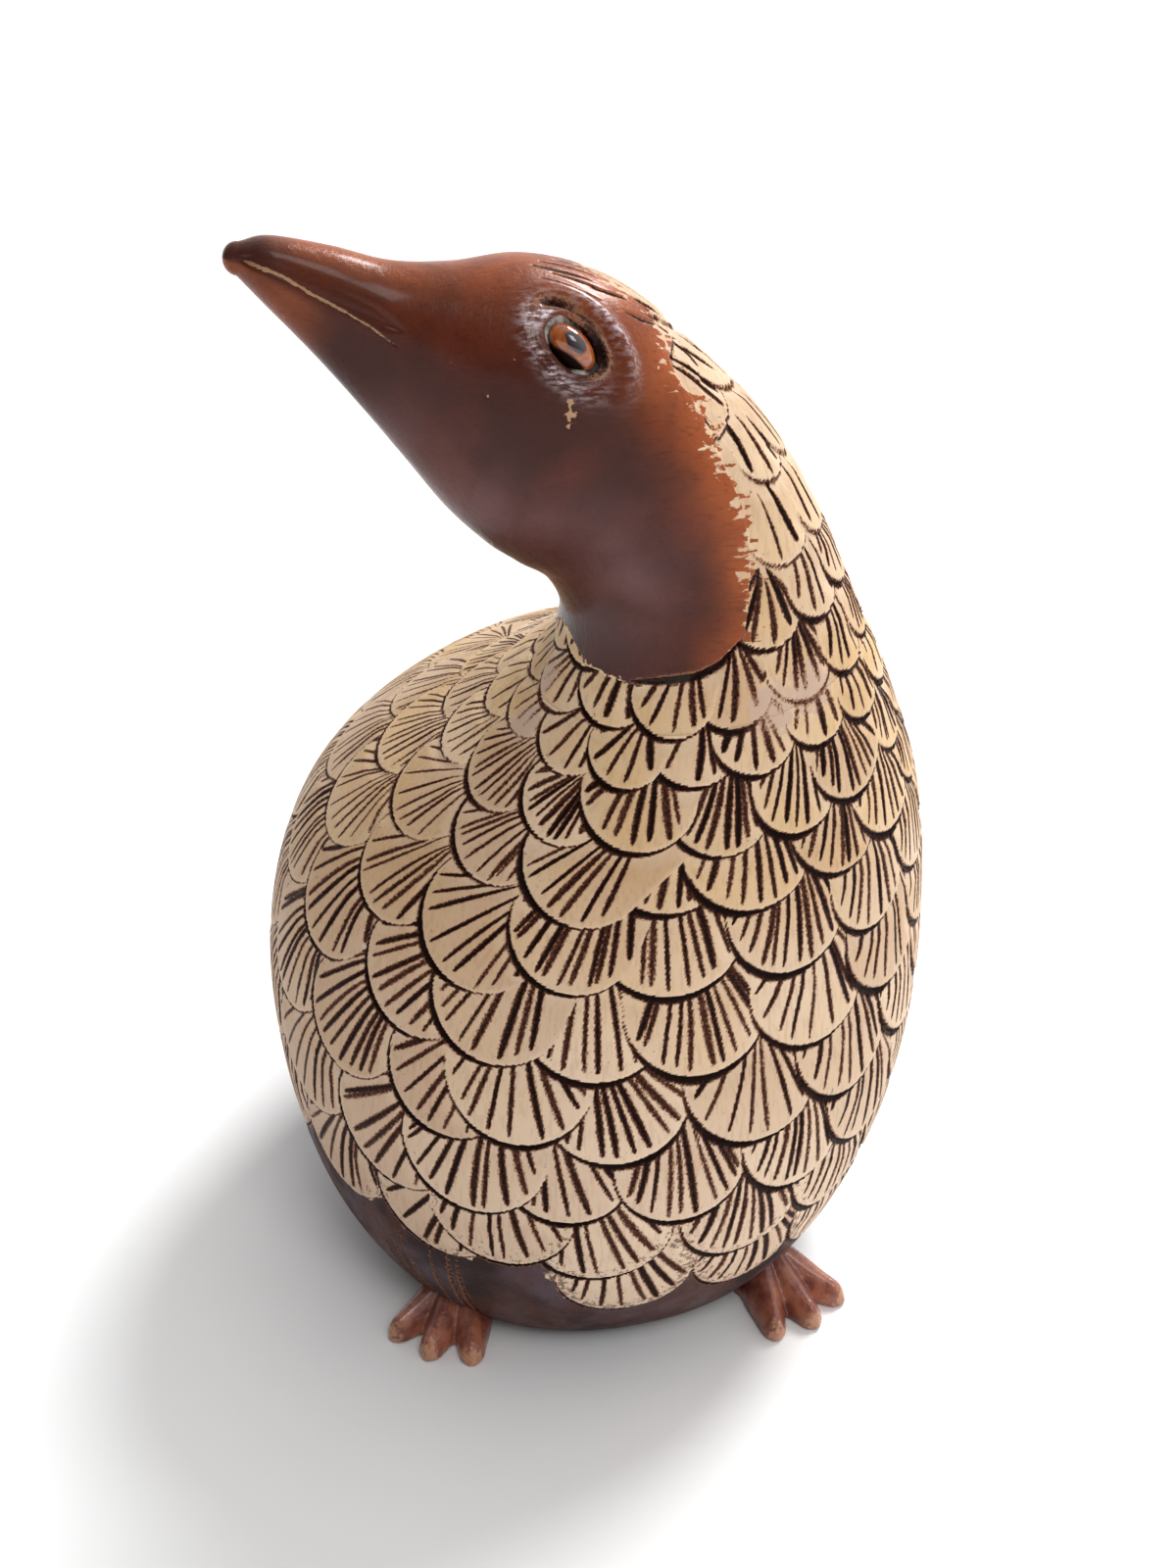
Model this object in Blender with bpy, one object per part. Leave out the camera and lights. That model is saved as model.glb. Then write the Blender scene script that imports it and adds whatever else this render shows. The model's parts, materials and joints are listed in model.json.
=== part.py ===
"""Carved wooden duck decoy on a flat base, with its head turned to its right.

The body is two hollowed halves glued on a seam, with four locating dowels. The head and neck are one carved
block, dowelled to a flat seat on the breast. Bead eyes sit in putty, and two feet are let into the base.

Frame: metres, +Z up, origin on the flat base. The breast faces -Y and the duck's right side is -X.
"""

import math
from collections import namedtuple

import bmesh
import bpy
import numpy as np
from mathutils import Matrix, Vector

MM = 0.001

# Sections of the outside, from the flat base up the body, neck and head to the tip of the bill, in millimetres and
# degrees. Each is a plane oval: centre, tilt (the back raised), bend (over to the right), then how far it reaches
# out (outer side of the bend), in, back and front, the power of its oval, and how far the tail stands out.
Section = namedtuple("Section", "x y z tilt bend out inn back front power tail")
SECTIONS = [
    Section(1, 6, 0, 0, 0, 66, 67, 79, 74, 2.2, 0),  # flat base
    Section(1, 6, 10, 1, 0, 76, 77, 90, 83, 2.15, 2),  # turn of the base
    Section(2, 7, 36, 4, 0, 89, 90, 103, 96, 2.1, 9),
    Section(4, 8, 70, 8, 0, 99, 99, 112, 105, 2.05, 20),  # belly and under the tail
    Section(6, 7, 104, 11, 0, 102, 101, 112, 106, 2.03, 24),  # widest, at the glue seam
    Section(9, 3, 136, 13, 0, 98, 94, 99, 98, 2, 14),  # breast and back
    Section(14, -8, 163, 14, 2, 84, 79, 79, 83, 2, 4),  # shoulders
    Section(19, -24, 187, 13, 6, 63, 57, 52, 60, 2, 0),
    Section(20, -36, 208, 9, 12, 47, 40, 37, 42, 2, 0),  # foot of the neck
    Section(17, -42, 229, 4, 22, 37, 34, 31, 33, 2, 0),
    Section(8, -46, 249, 0, 38, 31, 35, 29, 29, 2, 0),
    Section(-6, -48, 264, 0, 54, 28, 38, 28, 28, 2, 0),  # nape and throat
    Section(-19, -50, 274, 0, 64, 27, 39, 26, 26, 2, 0),  # crown and eyes
    Section(-33, -51, 282, 0, 70, 22, 36, 22, 22, 2, 0),  # cheeks
    Section(-46, -52, 287, 0, 72, 15, 28, 16, 16, 2, 0),
    Section(-58, -53, 291, 0, 74, 11, 20, 11, 11, 2, 0),  # root of the bill
    Section(-70, -54, 296, 0, 76, 9, 13, 9, 9, 2, 0),
    Section(-82, -55, 300, 0, 78, 6, 7, 7, 7, 2, 0),
    Section(-89, -55, 301, 0, 80, 3, 3, 3, 3, 2, 0),  # tip of the bill
]
TAIL_SPREAD = math.radians(24)
BILL_TIP_ROUND = 3 * MM
BILL_TIP_ANGLES = (math.radians(30), math.radians(60), math.radians(80))

SEAM_STATION = 4  # the glue seam lies in the plane of the widest section
SEAT_STATION = 7.8  # the head-and-neck block sits on a flat just below the foot of the neck
GAP = 0.3 * MM
AROUND = 48
RINGS_PER_SECTION = 3
BILL_START_STATION = 14
BILL_RINGS_PER_SECTION = 2
SHARP_ANGLE = math.radians(40)

# The hollow in both halves
WALL = 24 * MM
HOLLOW_AROUND = 32
HOLLOW_BOTTOM_STATION = 1.9
HOLLOW_TOP_STATION = 5.7

SEAM_DOWEL_RADIUS = 4 * MM
SEAM_DOWEL_LENGTH = 36 * MM
SEAM_DOWEL_INSET = 12 * MM
SEAM_DOWEL_ANGLES = {
    "back_left": math.radians(48),
    "back_right": math.radians(132),
    "front_right": math.radians(228),
    "front_left": math.radians(312),
}
NECK_DOWEL_RADIUS = 8 * MM
NECK_DOWEL_LENGTH = 46 * MM
DOWEL_SIDES = 16
DOWEL_CHAMFER = 1 * MM
BORE_CLEARANCE = 0.3 * MM
BORE_END_CLEARANCE = 1.5 * MM

# Eyes, on the section through the crown
EYE_STATION = 12.33
EYE_ANGLE = math.radians(69)  # from the crown, round to each side
EYE_BEAD_RADIUS = 5.6 * MM
EYE_BEAD_SET_IN = 2.8 * MM  # centre of the bead below the skin
PUTTY_RADIUS = 8.2 * MM
PUTTY_DEPTH = 10.5 * MM
PUTTY_RECESS = 0.8 * MM

# Feet: a heel let into the base, three toes and a web
FOOT_PLACES = {"right": (-46 * MM, -42 * MM, math.radians(-36)), "left": (42 * MM, -56 * MM, math.radians(19))}
TOE_FAN = math.radians(26)
TOE_LENGTH = 33 * MM
TOE_ROOT_HALF_WIDTH = 6.2 * MM
TOE_ROOT_HEIGHT = 12.5 * MM
TOE_TIP_SHARE = 0.36
TOE_ROUND_START = 0.85
TOE_ROUND_SPAN = 0.17
TOE_ARCH_POINTS = 9
TOE_RINGS = 6
HEEL_WIDTH = 30 * MM
HEEL_LENGTH = 24 * MM
HEEL_HEIGHT = 11 * MM
TOE_ROOT = (0, 6 * MM, 0.3 * MM)
WEB_REACH = 21 * MM
WEB_HALF_ANGLE = math.radians(31)
WEB_LOW = 0.6 * MM
WEB_HEIGHT = 4.5 * MM
POCKET_CLEARANCE = 0.5 * MM
POCKET_REACH = 50 * MM
POCKET_HALF_ANGLE = math.radians(27)
POCKET_ROOT_HALF_WIDTH = 10.5 * MM
FOOT_DOWEL_RADIUS = 3 * MM
FOOT_DOWEL_BOTTOM = 4 * MM
FOOT_DOWEL_LENGTH = 20 * MM
FOOT_DOWEL_BACK = 10 * MM


def clear_scene():
    for obj in list(bpy.data.objects):
        bpy.data.objects.remove(obj, do_unlink=True)


def material(name, color, roughness):
    made = bpy.data.materials.new(name)
    made.use_nodes = True
    shader = made.node_tree.nodes["Principled BSDF"]
    shader.inputs["Base Color"].default_value = (*color, 1)
    shader.inputs["Roughness"].default_value = roughness
    shader.inputs["Metallic"].default_value = 0
    return made


def section_at(station):
    """The section at a station along SECTIONS, on a smooth curve through them all."""
    last = len(SECTIONS) - 1
    index = min(int(station), last - 1)
    t = station - index
    one, two = np.array(SECTIONS[index]), np.array(SECTIONS[index + 1])
    before = np.array(SECTIONS[index - 1]) if index > 0 else 2 * one - two
    after = np.array(SECTIONS[index + 2]) if index < last - 1 else 2 * two - one
    start, end = (two - before) / 2, (after - one) / 2
    row = (
        (2 * t**3 - 3 * t**2 + 1) * one
        + (t**3 - 2 * t**2 + t) * start
        + (3 * t**2 - 2 * t**3) * two
        + (t**3 - t**2) * end
    )
    return Section(*row)


def section_frame(station):
    """The matrix of a section's plane: X outwards round the bend, Y to the back, Z along the spine."""
    at = section_at(station)
    centre = Vector((at.x, at.y, at.z)) * MM
    turn = Matrix.Rotation(-math.radians(at.bend), 4, "Y") @ Matrix.Rotation(math.radians(at.tilt), 4, "X")
    return Matrix.Translation(centre) @ turn


def oval_point(station, angle, inset=0.0):
    """A point of the outside, or of a surface inset from it, in the section's own frame."""
    at = section_at(station)
    cos, sin = math.cos(angle), math.sin(angle)
    across = math.copysign(abs(cos) ** (2 / at.power), cos)
    along = math.copysign(abs(sin) ** (2 / at.power), sin)
    x = across * ((at.out if cos > 0 else at.inn) * MM - inset)
    y = along * ((at.back if sin > 0 else at.front) * MM - inset)
    y += at.tail * MM * math.exp(-(((angle - math.pi / 2) / TAIL_SPREAD) ** 2))
    return Vector((x, y, 0))


def skin_point(station, angle):
    return section_frame(station) @ oval_point(station, angle)


def skin_frame(station, angle):
    """A frame on the outside whose Z axis is the outward normal."""
    step = 0.02
    along = skin_point(station + step, angle) - skin_point(station - step, angle)
    around = skin_point(station, angle + step) - skin_point(station, angle - step)
    normal = around.cross(along).normalized()
    turn = normal.to_track_quat("Z", "Y").to_matrix().to_4x4()
    return Matrix.Translation(skin_point(station, angle)) @ turn


def add_object(name, mesh, finish=None):
    """Links a mesh as a piece of the duck, or as a cutter when it has no finish."""
    obj = bpy.data.objects.new(name, mesh)
    bpy.context.scene.collection.objects.link(obj)
    mesh.shade_smooth()
    mesh.set_sharp_from_angle(angle=SHARP_ANGLE)
    if finish:
        mesh.materials.append(finish)
    else:
        obj.hide_render = True
        obj.display_type = "WIRE"
    return obj


def mesh_from_rings(name, rings):
    """A closed mesh through rings of points, with a flat face on the first and the last."""
    shape = bmesh.new()
    loops = [[shape.verts.new(point) for point in ring] for ring in rings]
    for lower, upper in zip(loops, loops[1:]):
        for i in range(len(lower)):
            k = (i + 1) % len(lower)
            shape.faces.new((lower[i], lower[k], upper[k], upper[i]))
    shape.faces.new(reversed(loops[0]))
    shape.faces.new(loops[-1])
    bmesh.ops.recalc_face_normals(shape, faces=shape.faces)
    mesh = bpy.data.meshes.new(name)
    shape.to_mesh(mesh)
    shape.free()
    return mesh


def ring(station, count=AROUND, inset=0.0, lift=0.0):
    """A section's oval as world points, lifted along the spine."""
    frame = section_frame(station) @ Matrix.Translation((0, 0, lift))
    return [frame @ oval_point(station, 2 * math.pi * i / count, inset) for i in range(count)]


def stations(first, last, per_section):
    count = max(1, round((last - first) * per_section))
    return [first + (last - first) * i / count for i in range(count + 1)]


def bill_tip_rings():
    """Rings that round off the tip of the bill."""
    last = len(SECTIONS) - 1
    tip = section_at(last)
    made = []
    for angle in BILL_TIP_ANGLES:
        inset = tip.out * MM * (1 - math.cos(angle))
        made.append(ring(last, inset=inset, lift=BILL_TIP_ROUND * math.sin(angle)))
    return made


def cut(obj, cutter):
    """Takes the cutter's shape out of the object."""
    boolean = obj.modifiers.new(cutter.name, "BOOLEAN")
    boolean.operation = "DIFFERENCE"
    boolean.object = cutter


def join(obj, other):
    boolean = obj.modifiers.new(other.name, "BOOLEAN")
    boolean.operation = "UNION"
    boolean.object = other


def cylinder(name, radius, length, frame, finish=None, chamfer=0.0):
    """A round rod centred on the frame, along its Z axis."""
    shape = bmesh.new()
    bmesh.ops.create_cone(shape, cap_ends=True, segments=DOWEL_SIDES, radius1=radius, radius2=radius, depth=length)
    if chamfer:
        rims = [edge for edge in shape.edges if len({round(v.co.z, 5) for v in edge.verts}) == 1]
        bmesh.ops.bevel(shape, geom=rims, offset=chamfer, segments=1, affect="EDGES")
    mesh = bpy.data.meshes.new(name)
    shape.to_mesh(mesh)
    shape.free()
    obj = add_object(name, mesh, finish)
    obj.matrix_world = frame
    return obj


def ball(name, radius, frame, finish=None):
    shape = bmesh.new()
    bmesh.ops.create_uvsphere(shape, u_segments=20, v_segments=12, radius=radius)
    mesh = bpy.data.meshes.new(name)
    shape.to_mesh(mesh)
    shape.free()
    obj = add_object(name, mesh, finish)
    obj.matrix_world = frame
    return obj


def body_halves(finish):
    """The two carved halves, each open at the glue seam over one hollow."""
    below = [ring(s) for s in stations(0, SEAM_STATION, RINGS_PER_SECTION)]
    below[-1] = ring(SEAM_STATION, lift=-GAP / 2)
    above = [ring(s) for s in stations(SEAM_STATION, SEAT_STATION, RINGS_PER_SECTION)]
    above[0] = ring(SEAM_STATION, lift=GAP / 2)
    above[-1] = ring(SEAT_STATION, lift=-GAP / 2)
    lower = add_object("body_lower_half", mesh_from_rings("body_lower_half", below), finish)
    upper = add_object("body_upper_half", mesh_from_rings("body_upper_half", above), finish)
    inside = [
        ring(s, count=HOLLOW_AROUND, inset=WALL)
        for s in stations(HOLLOW_BOTTOM_STATION, HOLLOW_TOP_STATION, RINGS_PER_SECTION)
    ]
    hollow = add_object("hollow_cutter", mesh_from_rings("hollow_cutter", inside))
    cut(lower, hollow)
    cut(upper, hollow)
    return lower, upper


def head_and_neck(finish):
    rings = [ring(s) for s in stations(SEAT_STATION, BILL_START_STATION, RINGS_PER_SECTION)]
    rings[0] = ring(SEAT_STATION, lift=GAP / 2)
    rings += [ring(s) for s in stations(BILL_START_STATION, len(SECTIONS) - 1, BILL_RINGS_PER_SECTION)[1:]]
    rings += bill_tip_rings()
    return add_object("head_neck_block", mesh_from_rings("head_neck_block", rings), finish)


def dowel_with_bores(name, radius, length, frame, finish, hosts):
    """A dowel, and the bore for it through each piece that it locates."""
    cylinder(name, radius, length, frame, finish, DOWEL_CHAMFER)
    bore = cylinder(name + "_bore", radius + BORE_CLEARANCE, length + 2 * BORE_END_CLEARANCE, frame)
    for host in hosts:
        cut(host, bore)


def seam_dowels(finish, lower, upper):
    for place, angle in SEAM_DOWEL_ANGLES.items():
        point = oval_point(SEAM_STATION, angle, SEAM_DOWEL_INSET)
        frame = section_frame(SEAM_STATION) @ Matrix.Translation(point)
        name = f"seam_dowel_{place}"
        dowel_with_bores(name, SEAM_DOWEL_RADIUS, SEAM_DOWEL_LENGTH, frame, finish, (lower, upper))


def eye(side, head, bead_finish, putty_finish):
    """A bead bedded in a cup of putty, in a round socket in the side of the head."""
    angle = -EYE_ANGLE if side == "left" else EYE_ANGLE
    skin = skin_frame(EYE_STATION, angle)
    bottom = PUTTY_RECESS + PUTTY_DEPTH
    socket_length = 2 * (bottom + GAP)
    cut(head, cylinder(f"eye_socket_{side}", PUTTY_RADIUS + GAP, socket_length, skin))
    middle = skin @ Matrix.Translation((0, 0, -PUTTY_RECESS - PUTTY_DEPTH / 2))
    putty = cylinder(f"eye_putty_{side}", PUTTY_RADIUS, PUTTY_DEPTH, middle, putty_finish)
    centre = skin @ Matrix.Translation((0, 0, -EYE_BEAD_SET_IN))
    cut(putty, ball(f"eye_seat_{side}", EYE_BEAD_RADIUS + GAP, centre))
    ball(f"eye_bead_{side}", EYE_BEAD_RADIUS, centre, bead_finish)


def toe_mesh(name):
    """A toe along -Y, flat underneath and arched on top, narrowing to a rounded tip."""
    rings = []
    for i in range(TOE_RINGS + 1):
        t = i / TOE_RINGS
        rounding = math.sqrt(max(0.0, 1 - max(0.0, (t - TOE_ROUND_START) / TOE_ROUND_SPAN) ** 2))
        share = (1 - (1 - TOE_TIP_SHARE) * t**1.3) * rounding
        half = TOE_ROOT_HALF_WIDTH * share
        height = TOE_ROOT_HEIGHT * share
        arch = []
        for k in range(TOE_ARCH_POINTS):
            angle = math.pi * k / (TOE_ARCH_POINTS - 1)
            arch.append(Vector((half * math.cos(angle), -TOE_LENGTH * t, height * math.sin(angle))))
        rings.append(arch)
    return mesh_from_rings(name, rings)


def plate_mesh(name, outline, low, high):
    """A flat plate with the given outline, between two heights."""
    return mesh_from_rings(name, [[Vector((x, y, z)) for x, y in outline] for z in (low, high)])


def fan_outline(reach, half_angle, root_half_width, back):
    """An arc about the foot's origin, with straight sides back to a square root."""
    turns = [half_angle * (k / 3 - 1) for k in range(7)]
    arc = [(reach * math.sin(a), -reach * math.cos(a)) for a in turns]
    return arc + [(root_half_width, back), (-root_half_width, back)]


def heel_outline(grow=0.0):
    half = HEEL_WIDTH / 2 + grow
    return [(-half, -grow), (half, -grow), (half, HEEL_LENGTH + grow), (-half, HEEL_LENGTH + grow)]


def foot(side, lower, finish, dowel_finish):
    """A foot let into the front edge of the base, in a pocket that is open to the front."""
    x, y, splay = FOOT_PLACES[side]
    place = Matrix.Translation((x, y, 0)) @ Matrix.Rotation(splay, 4, "Z")
    heel = add_object(f"foot_{side}", plate_mesh(f"foot_{side}", heel_outline(), 0, HEEL_HEIGHT), finish)
    heel.matrix_world = place
    for toe, turn in (("outer", -TOE_FAN), ("middle", 0), ("inner", TOE_FAN)):
        shape = add_object(f"toe_{toe}_{side}", toe_mesh(f"toe_{toe}_{side}"))
        shape.matrix_world = place @ Matrix.Rotation(turn, 4, "Z") @ Matrix.Translation(TOE_ROOT)
        join(heel, shape)
    web_shape = fan_outline(WEB_REACH, WEB_HALF_ANGLE, HEEL_WIDTH / 3, HEEL_LENGTH / 3)
    web = add_object(f"web_{side}", plate_mesh(f"web_{side}", web_shape, WEB_LOW, WEB_HEIGHT))
    web.matrix_world = place
    join(heel, web)
    heel_room = plate_mesh(
        f"heel_pocket_{side}", heel_outline(POCKET_CLEARANCE), -POCKET_CLEARANCE, HEEL_HEIGHT + POCKET_CLEARANCE
    )
    toe_room = plate_mesh(
        f"toe_pocket_{side}",
        fan_outline(POCKET_REACH, POCKET_HALF_ANGLE, POCKET_ROOT_HALF_WIDTH, HEEL_LENGTH / 3),
        -2 * POCKET_CLEARANCE,
        TOE_ROOT_HEIGHT + 2 * POCKET_CLEARANCE,
    )
    for room in (heel_room, toe_room):
        pocket = add_object(room.name, room)
        pocket.matrix_world = place
        cut(lower, pocket)
    middle = FOOT_DOWEL_BOTTOM + FOOT_DOWEL_LENGTH / 2
    frame = place @ Matrix.Translation((0, FOOT_DOWEL_BACK, middle))
    dowel_with_bores(f"foot_dowel_{side}", FOOT_DOWEL_RADIUS, FOOT_DOWEL_LENGTH, frame, dowel_finish, (heel, lower))


def build():
    clear_scene()
    painted = material("painted_wood", (0.62, 0.46, 0.28), 0.55)
    lacquer = material("lacquered_wood", (0.16, 0.05, 0.025), 0.28)
    foot_stain = material("stained_feet", (0.19, 0.055, 0.03), 0.3)
    plain = material("dowel_wood", (0.55, 0.38, 0.2), 0.7)
    bead = material("eye_bead", (0.5, 0.13, 0.03), 0.08)
    putty = material("eye_putty", (0.3, 0.27, 0.23), 0.8)
    lower, upper = body_halves(painted)
    head = head_and_neck(lacquer)
    seam_dowels(plain, lower, upper)
    seat = section_frame(SEAT_STATION)
    dowel_with_bores("neck_dowel", NECK_DOWEL_RADIUS, NECK_DOWEL_LENGTH, seat, plain, (upper, head))
    for side in ("left", "right"):
        eye(side, head, bead, putty)
        foot(side, lower, foot_stain, plain)


build()
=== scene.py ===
"""Looks of the carved duck decoy: a skin of carved feathers, a lacquered head and bill, bead eyes and stained feet.

Lengths in the named values are in millimetres unless they say otherwise, and objects are built in metres.
A place on the skin is a station along SECTIONS and an angle round the section. On the body, 0 degrees is the
duck's left side, 90 its back and -90 its breast. On the bent head, 0 is the crown and 180 the throat.
"""

import json
import math
from collections import namedtuple

import bmesh
import bpy
import numpy as np
from mathutils import Matrix, Vector

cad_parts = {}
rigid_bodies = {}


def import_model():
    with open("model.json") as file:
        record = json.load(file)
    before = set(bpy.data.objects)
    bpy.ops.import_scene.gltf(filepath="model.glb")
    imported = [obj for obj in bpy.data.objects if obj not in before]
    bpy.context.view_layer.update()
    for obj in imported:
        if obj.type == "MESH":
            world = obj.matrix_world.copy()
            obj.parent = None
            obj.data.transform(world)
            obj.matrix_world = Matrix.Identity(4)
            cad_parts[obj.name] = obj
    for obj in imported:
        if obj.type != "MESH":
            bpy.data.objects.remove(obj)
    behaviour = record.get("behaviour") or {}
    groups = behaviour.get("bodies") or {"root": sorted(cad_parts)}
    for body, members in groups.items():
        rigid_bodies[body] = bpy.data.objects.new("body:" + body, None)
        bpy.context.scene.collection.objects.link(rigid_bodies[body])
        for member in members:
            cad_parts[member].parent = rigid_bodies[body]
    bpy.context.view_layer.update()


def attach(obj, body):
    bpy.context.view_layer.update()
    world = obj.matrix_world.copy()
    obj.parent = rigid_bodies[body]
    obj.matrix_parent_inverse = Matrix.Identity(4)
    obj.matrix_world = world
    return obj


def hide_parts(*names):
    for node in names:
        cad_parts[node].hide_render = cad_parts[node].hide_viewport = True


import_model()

MM = 0.001

# ---------------------------------------------------------------- the carved block, as in the CAD model
# The last two sections stand up to 3 mm off the CAD model's: the worn tip of the bill is blunter here.

Section = namedtuple("Section", "x y z tilt bend out inn back front power tail")
SECTIONS = [
    Section(1, 6, 0, 0, 0, 66, 67, 79, 74, 2.2, 0),
    Section(1, 6, 10, 1, 0, 76, 77, 90, 83, 2.15, 2),
    Section(2, 7, 36, 4, 0, 89, 90, 103, 96, 2.1, 9),
    Section(4, 8, 70, 8, 0, 99, 99, 112, 105, 2.05, 20),
    Section(6, 7, 104, 11, 0, 102, 101, 112, 106, 2.03, 24),
    Section(9, 3, 136, 13, 0, 98, 94, 99, 98, 2, 14),
    Section(14, -8, 163, 14, 2, 84, 79, 79, 83, 2, 4),
    Section(19, -24, 187, 13, 6, 63, 57, 52, 60, 2, 0),
    Section(20, -36, 208, 9, 12, 47, 40, 37, 42, 2, 0),
    Section(17, -42, 229, 4, 22, 37, 34, 31, 33, 2, 0),
    Section(8, -46, 249, 0, 38, 31, 35, 29, 29, 2, 0),
    Section(-6, -48, 264, 0, 54, 28, 38, 28, 28, 2, 0),
    Section(-19, -50, 274, 0, 64, 27, 39, 26, 26, 2, 0),
    Section(-33, -51, 282, 0, 70, 22, 36, 22, 22, 2, 0),
    Section(-46, -52, 287, 0, 72, 15, 28, 16, 16, 2, 0),
    Section(-58, -53, 291, 0, 74, 11, 20, 11, 11, 2, 0),
    Section(-70, -54, 296, 0, 76, 9, 13, 9, 9, 2, 0),
    Section(-81.5, -55, 301, 0, 78, 6, 7, 7, 7, 2, 0),
    Section(-87, -55, 302.6, 0, 81, 3.2, 3.4, 3.4, 3.4, 2, 0),
]
TAIL_SPREAD = math.radians(24)
SEAM_STATION = 4
SEAT_STATION = 7.8
TIP_STATION = len(SECTIONS) - 1
BILL_TIP_ROUND = 3
TIP_RINGS = 7

SPACING = 0.6
BODY_COLUMNS = 1152
HEAD_COLUMNS = 640

rng = np.random.default_rng(7)


def smoothstep(low, high, x):
    t = np.clip((np.asarray(x, float) - low) / (high - low), 0, 1)
    return t * t * (3 - 2 * t)


def section_rows(stations):
    """The sections' values at each station, on a smooth curve through SECTIONS."""
    table = np.array(SECTIONS, float)
    last = len(table) - 1
    index = np.clip(np.floor(stations).astype(int), 0, last - 1)
    t = (stations - index)[:, None]
    one, two = table[index], table[index + 1]
    before = np.where((index > 0)[:, None], table[np.maximum(index - 1, 0)], 2 * one - two)
    after = np.where((index < last - 1)[:, None], table[np.minimum(index + 2, last)], 2 * two - one)
    start, end = (two - before) / 2, (after - one) / 2
    return (
        (2 * t**3 - 3 * t**2 + 1) * one
        + (t**3 - 2 * t**2 + t) * start
        + (3 * t**2 - 2 * t**3) * two
        + (t**3 - t**2) * end
    )


def skin(stations, angles, inset=0.0, lift=0.0):
    """Points of the plain block in millimetres, one row for each station and one column for each angle."""
    stations, angles = np.atleast_1d(stations).astype(float), np.atleast_1d(angles).astype(float)
    rows = section_rows(stations)
    tilt, bend = np.radians(rows[:, 3]), np.radians(rows[:, 4])
    outward = np.stack([np.cos(bend), 0 * bend, np.sin(bend)], 1)
    backward = np.stack([-np.sin(bend) * np.sin(tilt), np.cos(tilt), np.cos(bend) * np.sin(tilt)], 1)
    spine = np.cross(outward, backward)
    out, inn, back, front, power, tail = [rows[:, k][:, None] for k in range(5, 11)]
    cos, sin = np.cos(angles)[None, :], np.sin(angles)[None, :]
    turned = (angles + math.pi) % (2 * math.pi) - math.pi
    across = np.sign(cos) * np.abs(cos) ** (2 / power) * (np.where(cos > 0, out, inn) - inset)
    along = np.sign(sin) * np.abs(sin) ** (2 / power) * (np.where(sin > 0, back, front) - inset)
    along = along + tail * np.exp(-(((turned[None, :] - math.pi / 2) / TAIL_SPREAD) ** 2))
    middle = rows[:, None, :3] + lift * spine[:, None, :]
    return middle + across[..., None] * outward[:, None, :] + along[..., None] * backward[:, None, :]


def unit(vectors):
    return vectors / np.maximum(np.linalg.norm(vectors, axis=-1, keepdims=True), 1e-9)


def skin_axes(station, angle):
    """A point of the skin with the unit directions up the block, round it, and out of it."""
    step = 0.01
    up = (skin(station + step, angle) - skin(station - step, angle))[0, 0]
    around = (skin(station, angle + step) - skin(station, angle - step))[0, 0]
    up, around = unit(up), unit(around)
    out = unit(np.cross(around, up))
    return skin(station, angle)[0, 0], up, around, out


class Relief:
    """A grid over a stretch of the skin, with the carving and the stains that lie on it."""

    def __init__(self, first, last, columns, tip=False):
        fine = np.linspace(first, last, 1500)
        sample = skin(fine, np.linspace(0, 2 * math.pi, 24, endpoint=False))
        steps = np.linalg.norm(np.diff(sample, axis=0), axis=2).mean(axis=1)
        length = np.concatenate([[0], np.cumsum(steps)])
        count = int(round(length[-1] / SPACING))
        self.stations = np.interp(np.linspace(0, length[-1], count + 1), length, fine)
        self.angles = np.linspace(-math.pi, math.pi, columns, endpoint=False)
        self.points = skin(self.stations, self.angles)
        if tip:
            self.add_tip()
        around = np.roll(self.points, -1, 1) - np.roll(self.points, 1, 1)
        up = np.gradient(self.points, axis=0)
        self.normals = unit(np.cross(around, up))
        body = slice(0, count + 1)
        step = 0.01
        rise = skin(self.stations[body] + step, self.angles) - skin(self.stations[body] - step, self.angles)
        self.normals[body] = unit(np.cross(around[body], rise))
        self.row_step = np.linalg.norm(up, axis=2)
        self.column_step = np.linalg.norm(around, axis=2) / 2
        shape = self.points.shape[:2]
        self.height = np.zeros(shape)
        self.layers = {}
        for name in ("cut", "cream", "tone", "bevel_highlight", "dirt", "border", "thin_lacquer_and_top_light", "dusk", "scuffs_and_highlight", "fill", "painted_sheen"):
            self.layers[name] = np.zeros(shape)
        self.u = np.repeat(self.stations[:, None], columns, 1)
        self.v = np.repeat(np.degrees(self.angles)[None, :], shape[0], 0)

    def add_tip(self):
        """Rows that round off the tip of the bill."""
        end = section_rows(np.array([float(TIP_STATION)]))[0]
        rows = [self.points]
        for k in range(1, TIP_RINGS + 1):
            turn = math.radians(88) * k / TIP_RINGS
            inset = end[5] * (1 - math.cos(turn))
            rows.append(skin(TIP_STATION, self.angles, inset, BILL_TIP_ROUND * math.sin(turn)))
        self.points = np.concatenate(rows)
        self.stations = np.concatenate([self.stations, np.full(TIP_RINGS, float(TIP_STATION))])

    def window(self, station, angle, reach):
        """Index arrays of the grid within about a reach of a place, or None where it is off the grid."""
        row = int(np.searchsorted(self.stations, station))
        near = min(max(row, 0), len(self.stations) - 1)
        column = int(round((angle + math.pi) / (2 * math.pi) * len(self.angles)))
        down = int(reach / max(self.row_step[near].mean() * 0.6, 1e-3)) + 2
        low, high = max(row - down, 0), min(row + down, len(self.stations))
        if row - down > len(self.stations) or row + down < 0 or high - low < 2:
            return None
        side = int(reach / (self.column_step[near, column % len(self.angles)] * 0.75)) + 2
        side = min(side, len(self.angles) // 2 - 1)
        columns = np.arange(column - side, column + side + 1) % len(self.angles)
        return np.ix_(np.arange(low, high), columns)


# ---------------------------------------------------------------- feathers

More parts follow.
